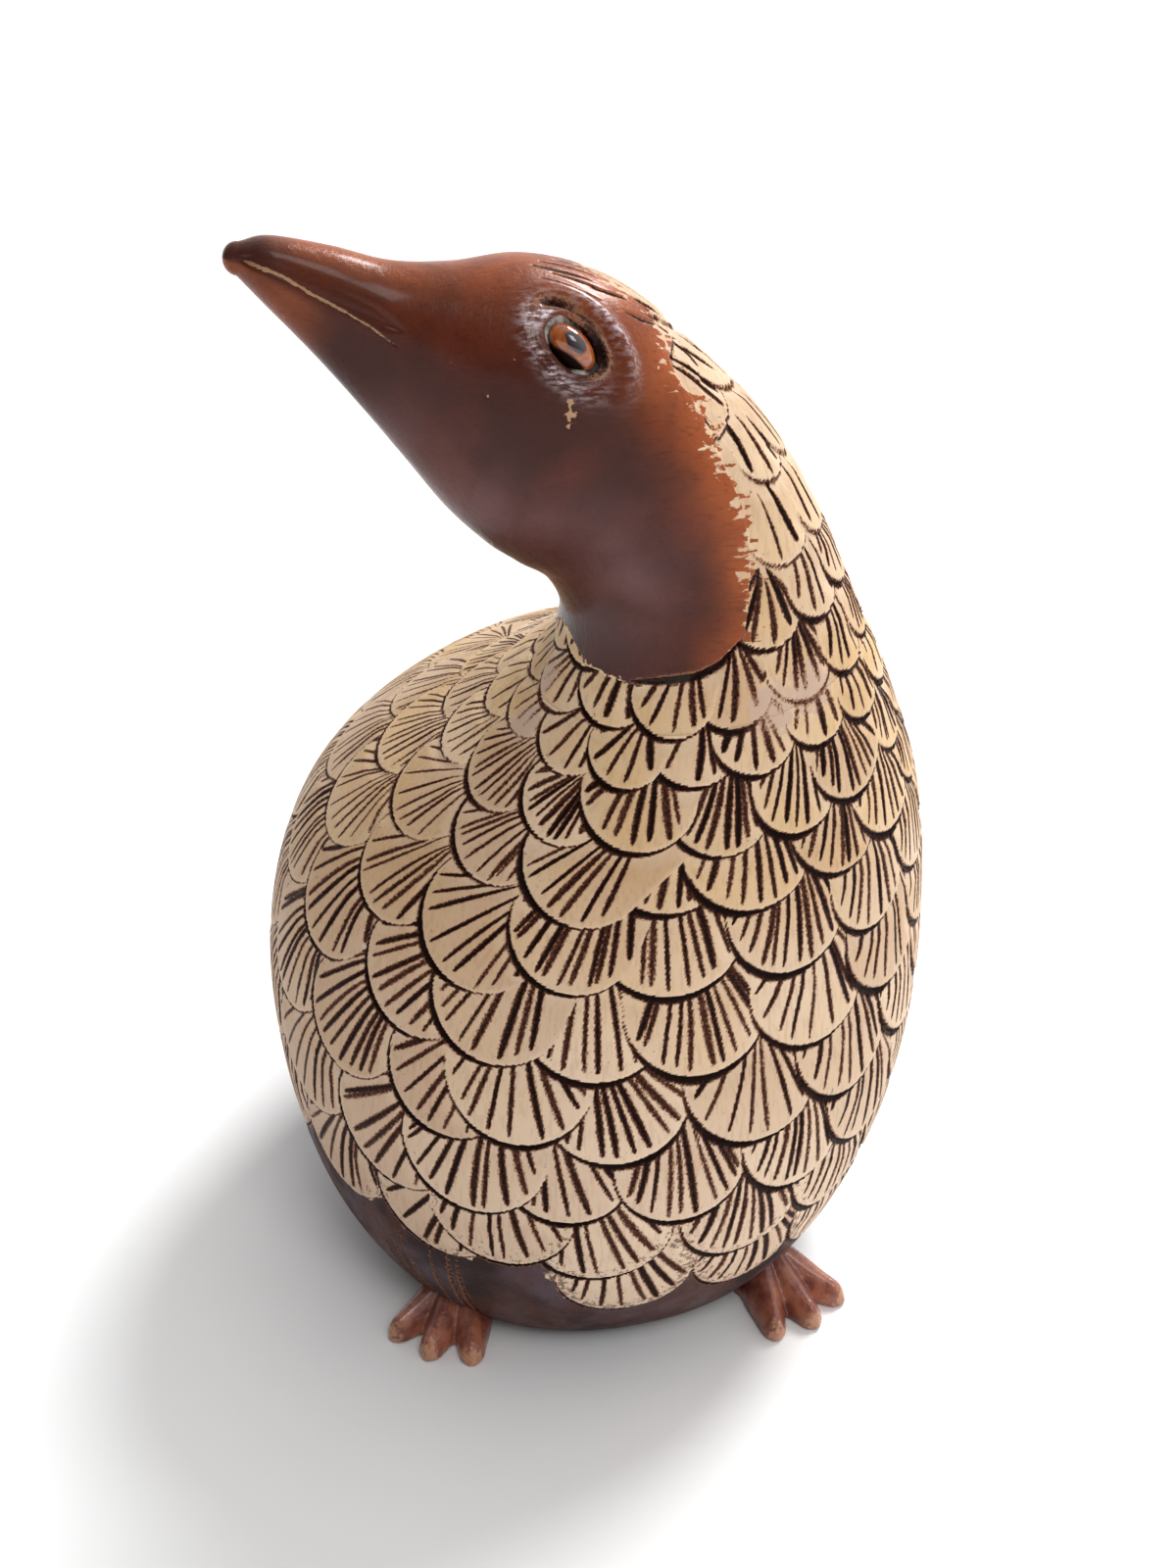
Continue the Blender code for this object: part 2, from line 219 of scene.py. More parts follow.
NAPE_STATION = 8.7  # above it the feathers are longer and only lightly cut
BODY_PITCH = 25.5
NECK_PITCH = 14.5
FIRST_TIP = 1.85  # station of the lowest tips, over the breast
FIRST_ANGLE = -107  # every second row has a feather here, to the right of the breast
BODY_SPAN = 34.0  # from one feather to the next along a row
NECK_SPAN = 18.5
OVERLAP = 1.17  # width of a feather as a share of that span
LEAN = [
    (-180, 8),
    (-165, 16),
    (-150, 27),
    (-135, 30),
    (-124, 8),
    (-116, -6),
    (-100, -18),
    (-88, -12),
    (-75, -4),
    (-60, 0),
    (150, 2),
    (180, 8),
]
SHADED_FLANK = [(-180, 1), (-150, 1), (-120, 0), (150, 0), (180, 1)]  # how much painted shade darkens the feathers, by angle: most on the duck's right flank
BASE_BORDER = [
    (-180, 2.3),
    (-160, 2.3),
    (-144, 2.55),
    (-129, 2.75),
    (-112, 2.6),
    (-105, 2.35),
    (-101, 1.85),
    (-64, 1.85),
    (-48, 2.1),
    (-30, 2.3),
    (180, 2.3),
]
HEAD_BORDER = [
    (0, 12.35),
    (18, 12.2),
    (23, 11.75),
    (27, 11.4),
    (52, 11.0),
    (58, 10.6),
    (68, 10.15),
    (72, 9.65),
    (82, 9.03),
    (88, 8.6),
    (111, 8.33),
    (131, 8.31),
    (156, 8.46),
    (171, 8.78),
    (180, 8.88),
]


def along(pairs, degrees):
    return np.interp(degrees, [p[0] for p in pairs], [p[1] for p in pairs])


Feather = namedtuple("Feather", "station angle width length lean tone rays")


def meridian_lengths(low, high):
    fine = np.linspace(low, high, 1200)
    sample = skin(fine, np.linspace(0, 2 * math.pi, 24, endpoint=False))
    steps = np.linalg.norm(np.diff(sample, axis=0), axis=2).mean(axis=1)
    return fine, np.concatenate([[0], np.cumsum(steps)])


def girth(station):
    loop = skin(station, np.linspace(0, 2 * math.pi, 97))[0]
    return np.linalg.norm(np.diff(loop, axis=0), axis=1).sum()


def feathers():
    """Every carved feather, from the base up to the head, so that each row lies over the one below it."""
    fine, length = meridian_lengths(FIRST_TIP, 12)
    made = []
    at, row = 0.0, 0
    while at < length[-1]:
        station = float(np.interp(at, length, fine))
        slim = float(smoothstep(5.4, 7.6, station))
        span = BODY_SPAN + (NECK_SPAN - BODY_SPAN) * slim
        pitch = BODY_PITCH + (NECK_PITCH - BODY_PITCH) * slim
        shift = 0.62 if row == 0 else 0.5 * (row % 2)
        count = int(round(girth(station) / span))
        for k in range(count):
            turn = FIRST_ANGLE + 360 * (k + shift + rng.normal(0, 0.045)) / count
            degrees = (turn + 180) % 360 - 180
            angle = math.radians(degrees)
            place = station + rng.normal(0, 1.2) / 34
            lean = float(along(LEAN, degrees)) * (1 - slim) + rng.normal(0, 4)
            size = 1 + rng.normal(0, 0.05)
            fan = int(rng.integers(9, 13)) if station < 7 else int(rng.integers(5, 8))
            if 10 < degrees < 170 and station < 6.4:
                fan += 2
            if station > NAPE_STATION:
                fan = int(rng.integers(3, 5))
            # A random tone for each feather, plus painted shade on the duck's right flank.
            tone = rng.normal(0, 1) + 2.4 * float(along(SHADED_FLANK, degrees)) * (1 - slim)
            feather = Feather(place, angle, span * OVERLAP * size, 2.45 * pitch, lean, tone, fan)
            low = float(along(BASE_BORDER, degrees))
            if low - 0.3 < place < low:
                place = low
            high = along(HEAD_BORDER, abs(degrees)) + 0.12
            if low <= place <= high and place < 11.3:
                made.append(feather)
        at += pitch
        row += 1
    return made


def edge_distance(x, y, feather):
    """Signed distance from a feather's outline, whose tip is at the origin and points along +y."""
    half = feather.width / 2
    cap = half * 0.96
    past = y + cap
    narrow = half * (1 + 0.22 * np.minimum(past, 0) / feather.length)
    return (np.hypot(x / narrow, np.maximum(past, 0) / cap) - 1) * narrow


def carve_feather(relief, feather, seed):
    dice = np.random.default_rng(seed)
    window = relief.window(feather.station, feather.angle, feather.length + 8)
    if window is None:
        return
    tip, up, around, out = skin_axes(feather.station, feather.angle)
    lean = math.radians(feather.lean)
    down = -up * math.cos(lean) - around * math.sin(lean)
    side = np.cross(out, down)
    offset = relief.points[window] - tip
    facing = relief.normals[window] @ out
    x, y = offset @ side, offset @ down
    distance = edge_distance(x, y, feather)
    near = (facing > 0.15) & (y > -feather.length)
    inside = near & (distance < 0)
    # Cuts are narrower and paler where the skin faces up and where it faces back.
    up_back_facing = min(1.0, float(smoothstep(0.35, 0.75, out[2]) + smoothstep(-0.15, 0.4, out[1])))
    cap = feather.width * 0.48
    bearing = np.degrees(np.arctan2(x, np.maximum(y + cap, -40)))

    # The stop cut round the tip: widest to the lower left, away from the key light, so that its black there is partly
    # painted shadow; fading out up both sides.
    heavy = -22 + dice.normal(0, 12)
    middle, half_turn = dice.normal(-12, 6), dice.uniform(88, 112)
    fade = np.clip(1 - np.abs((bearing - middle) / half_turn) ** 3, 0, 1)
    groove = fade * (0.5 + dice.uniform(1.3, 2.0) * np.exp(-(((bearing - heavy) / 46) ** 2)))
    groove = groove * min(1.0, (feather.width / 30) ** 0.7) * (1 - 0.15 * up_back_facing)
    shade = 1 - 0.28 * up_back_facing
    if feather.station > NAPE_STATION:
        groove = groove * 0.6
        shade = 0.62
    outside = near & (distance >= 0) & (groove > 0.2)
    share = np.clip(distance / np.maximum(groove, 0.01), 0, 4)
    profile = np.where(share < 0.3, share / 0.3, np.clip((1.15 - share) / 0.85, 0, 1))
    ramp = np.clip(1 - (distance - groove) / 4.2, 0, 1) * (distance > groove)
    depth = np.where(outside, -0.9 * (0.4 + 0.6 * groove) * profile * fade - 0.8 * ramp * fade, 0)

    height, cut = relief.height[window], relief.layers["cut"][window]
    height = np.where(outside, np.minimum(height, depth), height)
    floor = np.clip(1.35 - np.abs(share - 0.5) * 1.7, 0, 1) * fade * shade
    cut = np.where(outside, np.maximum(cut, floor), cut)
    # Painted highlight: the bevel just beyond the groove is lightened as if it caught the light.
    bevel_highlight = relief.layers["bevel_highlight"][window]
    bevel_highlight = np.where(outside, np.maximum(bevel_highlight, ramp * fade * (ramp < 0.95)), bevel_highlight)

    # Inside, a slightly domed vane, proud at its tip.
    dome = 0.8 * smoothstep(-feather.length, -3, y) * np.clip(-distance / 1.6, 0, 1) ** 0.5
    height = np.where(inside, dome, height)
    cut = np.where(inside, 0, cut)
    # Painted highlight along the inside of the vane's edge.
    bevel_highlight = np.where(inside, 0.75 * np.clip(1 + distance / 1.3, 0, 1), bevel_highlight)

    cuts, darks = ray_cuts(x, y, up_back_facing, feather, dice)
    height = np.where(inside, height - cuts, height)
    cut = np.where(inside, np.maximum(cut, darks), cut)
    relief.height[window] = height
    relief.layers["cut"][window] = cut
    relief.layers["bevel_highlight"][window] = bevel_highlight
    low_down = 1 - float(smoothstep(2.25, 3.1, feather.station))
    dirt = (0.25 + 0.75 * low_down) * smoothstep(-10, -0.5, distance)
    # Painted shade: each feather darkens towards its root, under the feather that covers it.
    shaded = feather.tone + 2.1 * (1 - smoothstep(-0.57 * feather.length, -5, y))
    for name, value in (("tone", shaded), ("cream", 1.0), ("dirt", dirt)):
        layer = relief.layers[name][window]
        relief.layers[name][window] = np.where(inside, value, layer)
    cream = relief.layers["cream"][window]
    smear = np.clip(0.48 - distance / 9, 0, 1) * near
    relief.layers["cream"][window] = np.maximum(cream, smear)


def ray_cuts(x, y, up_back_facing, feather, dice):
    """Depth and darkness of the gouge cuts that fan out over a feather."""
    seen = feather.length * 0.57
    origin = seen * (dice.uniform(1.02, 1.5) if feather.station < NAPE_STATION else dice.uniform(2.0, 3.0))
    centre = dice.normal(0, 0.07)
    dy = y + origin
    radius, bearing = np.hypot(x, dy), np.arctan2(x, dy)
    spread = math.atan2(feather.width * 0.47, origin - feather.width * 0.5)
    depth, dark = np.zeros_like(x), np.zeros_like(x)
    reach = np.linspace(1, origin + 4, 90)
    for k in range(feather.rays):
        turn = centre + (2 * (k + 0.5) / feather.rays - 1) * spread + dice.normal(0, 0.16) * spread / feather.rays * 2
        edge = edge_distance(reach * math.sin(turn), reach * math.cos(turn) - origin, feather)
        inner = reach[edge < -dice.uniform(1.0, 2.4)]
        end = inner[-1] if len(inner) else origin * 0.9
        start = max(2.0, end - seen * dice.uniform(0.8, 1.08))
        t = np.clip((radius - start) / (end - start), 0, 1)
        bold = dice.uniform(0.72, 1.36) * (1.12 if turn > 0 else 1.0) * (1 - 0.42 * up_back_facing)
        if feather.rays < 7:
            bold *= 1.05
        half = bold * t**0.7 * (1 - t) ** 0.28 * 1.6 + 1e-6
        bowed = dice.normal(0, 0.35) * (2 * t - 1) ** 2
        across = np.abs(radius * (bearing - turn) + bowed)
        profile = np.clip(1 - across / half, 0, 1) * (t > 0) * (t < 1) * np.clip(half / 0.35, 0, 1)
        strength = dice.uniform(0.3, 1) * (1 - 0.3 * up_back_facing)
        depth = np.maximum(depth, 1.2 * np.minimum(profile * 1.4, 1) * min(half.max(), 1))
        dark = np.maximum(dark, np.clip(profile * 1.5, 0, 1) * (0.35 + 0.65 * strength))
    return depth, dark


def lens(t, sharp=0.6):
    """A stroke's width along its length, from 0 at its ends to 1 in the middle."""
    return (4 * t * (1 - t)) ** sharp


def stroke(relief, path, half_width, depth, dark, shape=lens, soft=False, layer="cut"):
    """Cuts a groove along a path of (station, degrees) places. A negative depth raises a ridge."""
    stations = np.array([p[0] for p in path], float)
    turns = np.radians([p[1] for p in path])
    knots = np.arange(len(path))
    fine = np.linspace(0, len(path) - 1, 16 * (len(path) - 1) + 1)
    line = np.concatenate([skin(np.interp(f, knots, stations), np.interp(f, knots, turns))[0] for f in fine])
    middle = len(fine) // 2
    reach = np.linalg.norm(line - line[middle], axis=1).max() + 3 * half_width + 1
    where = float(np.interp(fine[middle], knots, stations)), float(np.interp(fine[middle], knots, turns))
    window = relief.window(*where, reach)
    if window is None:
        return
    away = np.full(relief.points[window].shape[:2], 1e9)
    share = np.zeros_like(away)
    for number, point in enumerate(line):
        gap = np.linalg.norm(relief.points[window] - point, axis=2)
        closer = gap < away
        away = np.where(closer, gap, away)
        share = np.where(closer, number / (len(line) - 1), share)
    width = half_width * shape(share) + 1e-6
    if soft:
        profile = np.exp(-((away / width) ** 2))
    else:
        profile = np.clip(1 - away / width, 0, 1) * (width > 0.12)
    relief.height[window] -= depth * np.minimum(profile * 1.3, 1)
    old = relief.layers[layer][window]
    relief.layers[layer][window] = np.maximum(old, dark * np.clip(profile * 1.5, 0, 1))


def carve_all(reliefs):
    for number, feather in enumerate(feathers()):
        for relief in reliefs:
            carve_feather(relief, feather, 1000 + number)


def smooth_head(relief):
    """The lacquered head stands a little proud of the carved neck, with no feather cuts of its own."""
    border = relief.layers["border"]
    neck = 1 - smoothstep(-0.8, 0.6, border)
    relief.height *= neck
    relief.height += 0.5 * smoothstep(-1.2, 0.8, border) - 0.35
    relief.layers["cut"] *= 1 - smoothstep(-0.3, 0.5, border)
    relief.layers["dirt"] *= border < 0


CHIPS = [(12.03, -95, 1.5), (12.12, -92, 1.1), (12.0, -98.5, 0.8), (13.0, -88, 0.4), (13.2, -104, 0.5)]
FILLER = [(8.02, -174, 5), (7.5, -166, 6), (7.85, -81, 7), (7.9, -66, 7), (7.7, 120, 5), (8.1, 62, 4)]


def spot(relief, station, degrees, size):
    """A window round a place on the skin, with a soft round mask in it."""
    point = skin(station, math.radians(degrees))[0, 0]
    window = relief.window(station, math.radians(degrees), 3 * size)
    if window is None:
        return None, None
    gap = np.linalg.norm(relief.points[window] - point, axis=2)
    return window, np.exp(-((gap / size) ** 2))


def repairs(relief):
    """Chips in the lacquer, and smears of filler round the foot of the neck."""
    for station, degrees, size in CHIPS:
        window, mask = spot(relief, station, degrees, size)
        if window:
            relief.layers["dirt"][window] = np.maximum(relief.layers["dirt"][window], mask)
            relief.height[window] -= 0.15 * mask
    for station, degrees, size in FILLER:
        window, mask = spot(relief, station, degrees, size)
        if window:
            relief.height[window] = relief.height[window] * (1 - 0.75 * mask) + 0.15 * mask
            relief.layers["cut"][window] *= 1 - 0.8 * mask
            relief.layers["fill"][window] = np.maximum(relief.layers["fill"][window], mask)


def base_stripes(relief):
    """Upright gouge cuts in the stain round the flanks and the back."""
    for degrees in np.arange(-238, -32, 3.6):
        if -124 < degrees < -40:
            continue
        turn = degrees + rng.normal(0, 0.5)
        top = float(along(BASE_BORDER, (turn + 180) % 360 - 180)) - rng.uniform(0.1, 0.3)
        path = [(rng.uniform(0.25, 0.6), turn), (1.4, turn + rng.normal(0, 0.5)), (top, turn + rng.normal(0, 0.8))]
        stroke(relief, path, rng.uniform(0.9, 1.6), 0.8, rng.uniform(0.6, 0.9))


def lobe_groove(relief):
    """The deep groove under the rounded lower edge of the lacquer."""
    for side in (-1, 1):
        path = [(8.6, side * 88), (8.42, side * 98), (8.36, side * 108), (8.36, side * 122), (8.36, side * 134)]
        stroke(relief, path, 1.5, 1.2, 1.0)


def crown_cuts(relief):
    """Hair-like cuts that run back over the crown into the paint."""
    for degrees in (-38, -31, -26, -20, -13, -5, 4, 12, 19, 27, 34, 40):
        start = 12.95 - abs(degrees) * 0.006 + rng.normal(0, 0.12)
        path = [(start, degrees), (start - 0.35, degrees + rng.normal(0, 1.5)), (start - 0.8, degrees * 1.06)]
        stroke(relief, path, rng.uniform(0.45, 0.75), 0.5, rng.uniform(0.5, 0.95))


MOUTH = [(17.85, 91), (17.3, 95), (16.67, 93), (16.25, 97), (15.82, 97.5), (15.2, 99.5), (14.72, 103)]


def nape_cuts(relief):
    """A few long gouge cuts up the back of the head, above the last feathers."""
    for row in range(4):
        for k in range(5 - row // 2):
            degrees = (k - 2) * 17 + 8 * (row % 2) + rng.normal(0, 4)
            station = 10.75 + 0.42 * row + rng.normal(0, 0.08)
            path = [(station + 0.26, degrees - 2), (station, degrees), (station - 0.22, degrees + rng.normal(3, 2))]
            stroke(relief, path, rng.uniform(0.5, 0.9), 0.6, rng.uniform(0.7, 1.0))


EYE_STATION = 12.33
EYE_DEGREES = 69
EYE_SLANT = math.radians(23)  # how far the eye's long axis drops towards the nape
LID_LONG = 8.2
LID_SHORT = 5.2


def eye_axes(side):
    """The middle of an eye on the skin, with unit directions along it to the nape, across to the crown, and out."""
    point, up, around, out = skin_axes(EYE_STATION, math.radians(side * EYE_DEGREES))
    crown = -side * around
    nape = -up
    long_way = nape * math.cos(EYE_SLANT) - crown * math.sin(EYE_SLANT)
    return point, long_way, np.cross(out, long_way) * (1 if side < 0 else -1), out


def bump_at(bearing, middle, spread):
    """1 at a bearing round the eye, falling to 0 over a spread in degrees."""
    away = np.abs((bearing - middle + 180) % 360 - 180)
    return np.exp(-((away / spread) ** 2))


def eye_socket(relief, side):
    """Lids, brow and creases carved round one eye, with painted shade in the creases and the socket and a painted
    highlight on the brow.
    """
    point, long_way, across, out = eye_axes(side)
    window = relief.window(EYE_STATION, math.radians(side * EYE_DEGREES), 26)
    offset = relief.points[window] - point
    p, q = offset @ long_way, offset @ across
    near = relief.normals[window] @ out > 0
    ring = np.hypot(p / LID_LONG, q / LID_SHORT)
    bearing = np.degrees(np.arctan2(q / LID_SHORT, p / LID_LONG))
    upper = bump_at(bearing, 80, 75)
    lower = bump_at(bearing, 262, 75)
    height = -3.4 * (1 - smoothstep(0.66, 0.98, ring))
    height += 0.5 * np.exp(-(((ring - 1.14) / 0.13) ** 2)) * (1 - bump_at(bearing, 182, 34))
    height += 2.3 * np.exp(-(((ring - 1.85) / 0.36) ** 2)) * upper
    height += 0.6 * np.exp(-(((ring - 1.5) / 0.28) ** 2)) * lower
    crease = np.exp(-(((ring - 1.42) / 0.13) ** 2)) * bump_at(bearing, 143, 21)
    fold = np.exp(-(((ring - 1.25) / 0.1) ** 2)) * bump_at(bearing, 100, 40)
    rear = np.exp(-(((ring - 1.0) / 0.15) ** 2)) * bump_at(bearing, 52, 46)
    height -= 2.0 * crease + 0.9 * fold + 1.3 * rear
    wrinkle = 0.12 * np.sin(ring * 44 + 2 * np.sin(bearing * 0.11)) * smoothstep(1.02, 1.15, ring)
    height += wrinkle * (1 - smoothstep(1.5, 1.9, ring)) * np.maximum(lower, bump_at(bearing, 185, 40))
    relief.height[window] += np.where(near, height, 0)
    # Painted shade: the crease, the fold, the rear crescent and the socket under the bead are painted dark.
    dark = np.clip(0.85 * crease + 0.5 * fold + 1.2 * rear + (ring < 0.9), 0, 1)
    cut = relief.layers["cut"][window]
    relief.layers["cut"][window] = np.where(near, np.maximum(cut, dark), cut)
    # Scuffs round the lower lid and the front corner; the brow band below is a painted highlight.
    scuffs_and_highlight = np.exp(-(((ring - 1.42) / 0.36) ** 2)) * np.maximum(lower, bump_at(bearing, 190, 45))
    # Painted highlight on the brow ridge above the eye.
    scuffs_and_highlight = np.maximum(scuffs_and_highlight, 1.15 * np.exp(-(((ring - 1.95) / 0.36) ** 2)) * bump_at(bearing, 84, 50))
    scuffs_and_highlight = (scuffs_and_highlight + 1.2 * np.exp(-(((ring - 1.12) / 0.16) ** 2)) * bump_at(bearing, 176, 26)) * (ring > 0.95)
    relief.layers["scuffs_and_highlight"][window] = np.where(near, np.clip(scuffs_and_highlight, 0, 1), relief.layers["scuffs_and_highlight"][window])


def mouth_line(relief):
    """The mouth: a shallow groove that shows bare wood, with a soft hollow above it and a full lower lip."""
    for side in (-1, 1):
        path = [(station, side * degrees) for station, degrees in MOUTH]
        stroke(relief, path, 0.7, 0.5, 1.1, shape=lambda t: (1 - t) ** 0.35 * np.minimum(1, 6 * t + 0.3), layer="dirt")
        above = [(station, side * (degrees - 9)) for station, degrees in MOUTH]
        stroke(relief, above, 2.6, 0.4, 0.0, soft=True)


def border_distance(relief):
    """Millimetres into the lacquered head from its border with the painted neck."""
    turns = np.linspace(-180, 180, 361)
    past = relief.u - along(HEAD_BORDER, np.abs(relief.v))
    far = np.full(past.shape, 20.0, np.float32)
    low = int(np.searchsorted(relief.stations, HEAD_BORDER[9][1] - 0.8))
    high = int(np.searchsorted(relief.stations, HEAD_BORDER[0][1] + 1.2))
    if high - low > 2:
        near = relief.points[low:high].astype(np.float32)
        best = np.full(near.shape[:2], 400.0, np.float32)
        for degrees in turns:
            point = skin(along(HEAD_BORDER, abs(degrees)), math.radians(degrees))[0, 0].astype(np.float32)
            best = np.minimum(best, ((near - point) ** 2).sum(axis=2))
        far[low:high] = np.sqrt(best)
    return far * np.sign(past)


# Painted reflection: soft mauve sheen patches on the throat and down the neck, each a station, degrees and size.
PAINTED_SHEEN_SPOTS = [(14.0, 167, 13), (13.3, 155, 13), (12.4, 144, 12), (11.4, 135, 11), (10.5, 129, 12), (9.7, 125, 12), (9.0, 139, 11)]


def lay_grounds(relief):
    """The stained strip round the base and the paint between the feathers, before any carving."""
    above = relief.u - along(BASE_BORDER, relief.v)
    relief.layers["cream"] = np.where(above > 0.7, 1.0, 0.0)
    relief.layers["border"] = border_distance(relief)
    around = np.abs(relief.v)
    # Painted light: the crown is lighter orange, as if lit from above.
    crown = np.exp(-((around / 46) ** 2)) * smoothstep(11.2, 12.6, relief.u)
    edge = 0.95 * np.exp(-((relief.layers["border"] / 11) ** 2)) * (1 - smoothstep(78, 120, around))
    chin = 0.5 * smoothstep(15.5, 17, relief.u) * smoothstep(98, 112, around)
    relief.layers["border"] *= 1 + 3 * smoothstep(84, 98, around)
    relief.layers["thin_lacquer_and_top_light"] = np.clip(crown + edge + chin, 0, 1)
    relief.layers["dusk"] = smoothstep(16.4, 17.3, relief.u) * (1 - smoothstep(84, 96, around))
    for station, degrees, size in PAINTED_SHEEN_SPOTS:
        for side in (-1, 1):
            window, mask = spot(relief, station, side * degrees, size)
            if window:
                relief.layers["painted_sheen"][window] = np.maximum(relief.layers["painted_sheen"][window], mask)


# ---------------------------------------------------------------- meshes


def link(name, mesh):
    obj = bpy.data.objects.new(name, mesh)
    bpy.context.scene.collection.objects.link(obj)
    return obj


def relief_object(name, relief):
    """The carved grid as a closed mesh, with its layers as attributes and a plain layout for the bake."""
    points = (relief.points + relief.height[..., None] * relief.normals) * MM
    rows, columns = points.shape[:2]
    low, high = points[0].mean(axis=0), points[-1].mean(axis=0)
    if name == "carved_body_lower":
        low[2] = 0
        points[0, :, 2] = 0
    vertices = np.concatenate([points.reshape(-1, 3), [low, high]])
    row, column = np.meshgrid(np.arange(rows - 1), np.arange(columns), indexing="ij")
    beside = (column + 1) % columns
    quads = np.stack([row * columns + column, row * columns + beside, (row + 1) * columns + beside,
                      (row + 1) * columns + column], -1).reshape(-1, 4)
    ring = np.arange(columns)
    nxt = (ring + 1) % columns
    under = np.stack([nxt, ring, np.full(columns, rows * columns)], 1)
    top = (rows - 1) * columns
    over = np.stack([top + ring, top + nxt, np.full(columns, rows * columns + 1)], 1)
    loops = np.concatenate([quads.reshape(-1), under.reshape(-1), over.reshape(-1)]).astype(np.int32)
    sizes = np.concatenate([np.full(len(quads), 4), np.full(2 * columns, 3)]).astype(np.int32)
    mesh = bpy.data.meshes.new(name)
    mesh.vertices.add(len(vertices))
    mesh.vertices.foreach_set("co", vertices.reshape(-1).astype(np.float32))
    mesh.loops.add(len(loops))
    mesh.loops.foreach_set("vertex_index", loops)
    mesh.polygons.add(len(sizes))
    mesh.polygons.foreach_set("loop_start", np.concatenate([[0], np.cumsum(sizes)[:-1]]).astype(np.int32))
    mesh.update(calc_edges=True)
    mesh.polygons.foreach_set("use_smooth", np.ones(len(sizes), bool))
    ends = np.empty(2 * len(mesh.edges), np.int32)
    mesh.edges.foreach_get("vertices", ends)
    ends = ends.reshape(-1, 2)
    rims = (ends < columns).all(axis=1) | ((ends >= top) & (ends < top + columns)).all(axis=1)
    mesh.attributes.new("sharp_edge", "BOOLEAN", "EDGE").data.foreach_set("value", rims)

    strip = 0.02
    left, right = column / columns, (column + 1) / columns
    low_v = strip + (1 - 2 * strip) * row / (rows - 1)
    high_v = strip + (1 - 2 * strip) * (row + 1) / (rows - 1)
    quad_uv = np.stack([left, low_v, right, low_v, right, high_v, left, high_v], -1).reshape(-1)
    a, b, middle = ring / columns, (ring + 1) / columns, (ring + 0.5) / columns
    zero, one = np.zeros(columns), np.ones(columns)
    under_uv = np.stack([b, zero + strip * 0.9, a, zero + strip * 0.9, middle, zero], -1).reshape(-1)
    over_uv = np.stack([a, one - strip * 0.9, b, one - strip * 0.9, middle, one], -1).reshape(-1)
    layout = mesh.uv_layers.new(name="OFBake")
    layout.data.foreach_set("uv", np.concatenate([quad_uv, under_uv, over_uv]).astype(np.float32))
    for key, layer in relief.layers.items():
        values = np.concatenate([layer.reshape(-1), [layer[0].mean(), layer[-1].mean()]])
        mesh.attributes.new(key, "FLOAT", "POINT").data.foreach_set("value", values.astype(np.float32))
    mesh.validate()
    return link(name, mesh)


# ---------------------------------------------------------------- materials


def linear(red, green, blue):
    """Linear colour from the 0-255 values that a colour picker shows."""
    return tuple((c / 255 / 12.92 if c < 11 else ((c / 255 + 0.055) / 1.055) ** 2.4) for c in (red, green, blue)) + (1,)


class Shader:
    """A material's nodes, added one call at a time."""

    def __init__(self, name, **settings):
        self.material = bpy.data.materials.new(name)
        self.material.use_nodes = True
        self.tree = self.material.node_tree
        self.surface = self.tree.nodes["Principled BSDF"]
        for key, value in settings.items():
            self.surface.inputs[key.replace("_", " ")].default_value = value
        self.place = self.node("TexCoord").outputs["Object"]

    def node(self, kind, inputs=None, **settings):
        made = self.tree.nodes.new("ShaderNode" + kind)
        for key, value in settings.items():
            setattr(made, key, value)
        for key, value in (inputs or {}).items():
            self.feed(made.inputs[key], value)
        return made

    def feed(self, socket, value):
        if isinstance(value, bpy.types.NodeSocket):
            self.tree.links.new(value, socket)
        else:
            socket.default_value = value

    def layer(self, name):
        return self.node("Attribute", attribute_name=name).outputs["Fac"]

    def math(self, operation, a, b=0.0, c=0.0, clamp=False):
        return self.node("Math", {0: a, 1: b, 2: c}, operation=operation, use_clamp=clamp).outputs[0]

    def step(self, value, low, high, first=0.0, last=1.0):
        """Eases from first to last while the value goes from low to high."""
        inputs = {"Value": value, "From Min": low, "From Max": high, "To Min": first, "To Max": last}
        return self.node("MapRange", inputs, interpolation_type="SMOOTHSTEP").outputs[0]

    def noise(self, size, detail=3.0, stretch=None, lumps=0.5, shift=0.0):
        """Noise from 0 to 1, whose lumps are about a size in millimetres, or longer along a stretched axis."""
        place = self.place
        if stretch or shift:
            mapping = {"Vector": place, "Scale": stretch or (1, 1, 1), "Location": (shift, shift, shift)}
            place = self.node("Mapping", mapping).outputs[0]
        inputs = {"Vector": place, "Scale": 1000 / size, "Detail": detail, "Roughness": lumps}
        return self.node("TexNoise", inputs).outputs["Fac"]

    def mix(self, factor, a, b, blend="MIX"):
        made = self.node("Mix", data_type="RGBA", blend_type=blend)
        self.feed(made.inputs[0], factor)
        self.feed(made.inputs[6], a)
        self.feed(made.inputs[7], b)
        return made.outputs[2]

    def bump(self, height, millimetres, strength=1.0, normal=None):
        inputs = {"Height": height, "Distance": millimetres * MM, "Strength": strength}
        if normal:
            inputs["Normal"] = normal
        return self.node("Bump", inputs).outputs[0]

    def finish(self, color, roughness, normal=None):
        self.feed(self.surface.inputs["Base Color"], color)
        self.feed(self.surface.inputs["Roughness"], roughness)
        if normal:
            self.feed(self.surface.inputs["Normal"], normal)
        return self.material


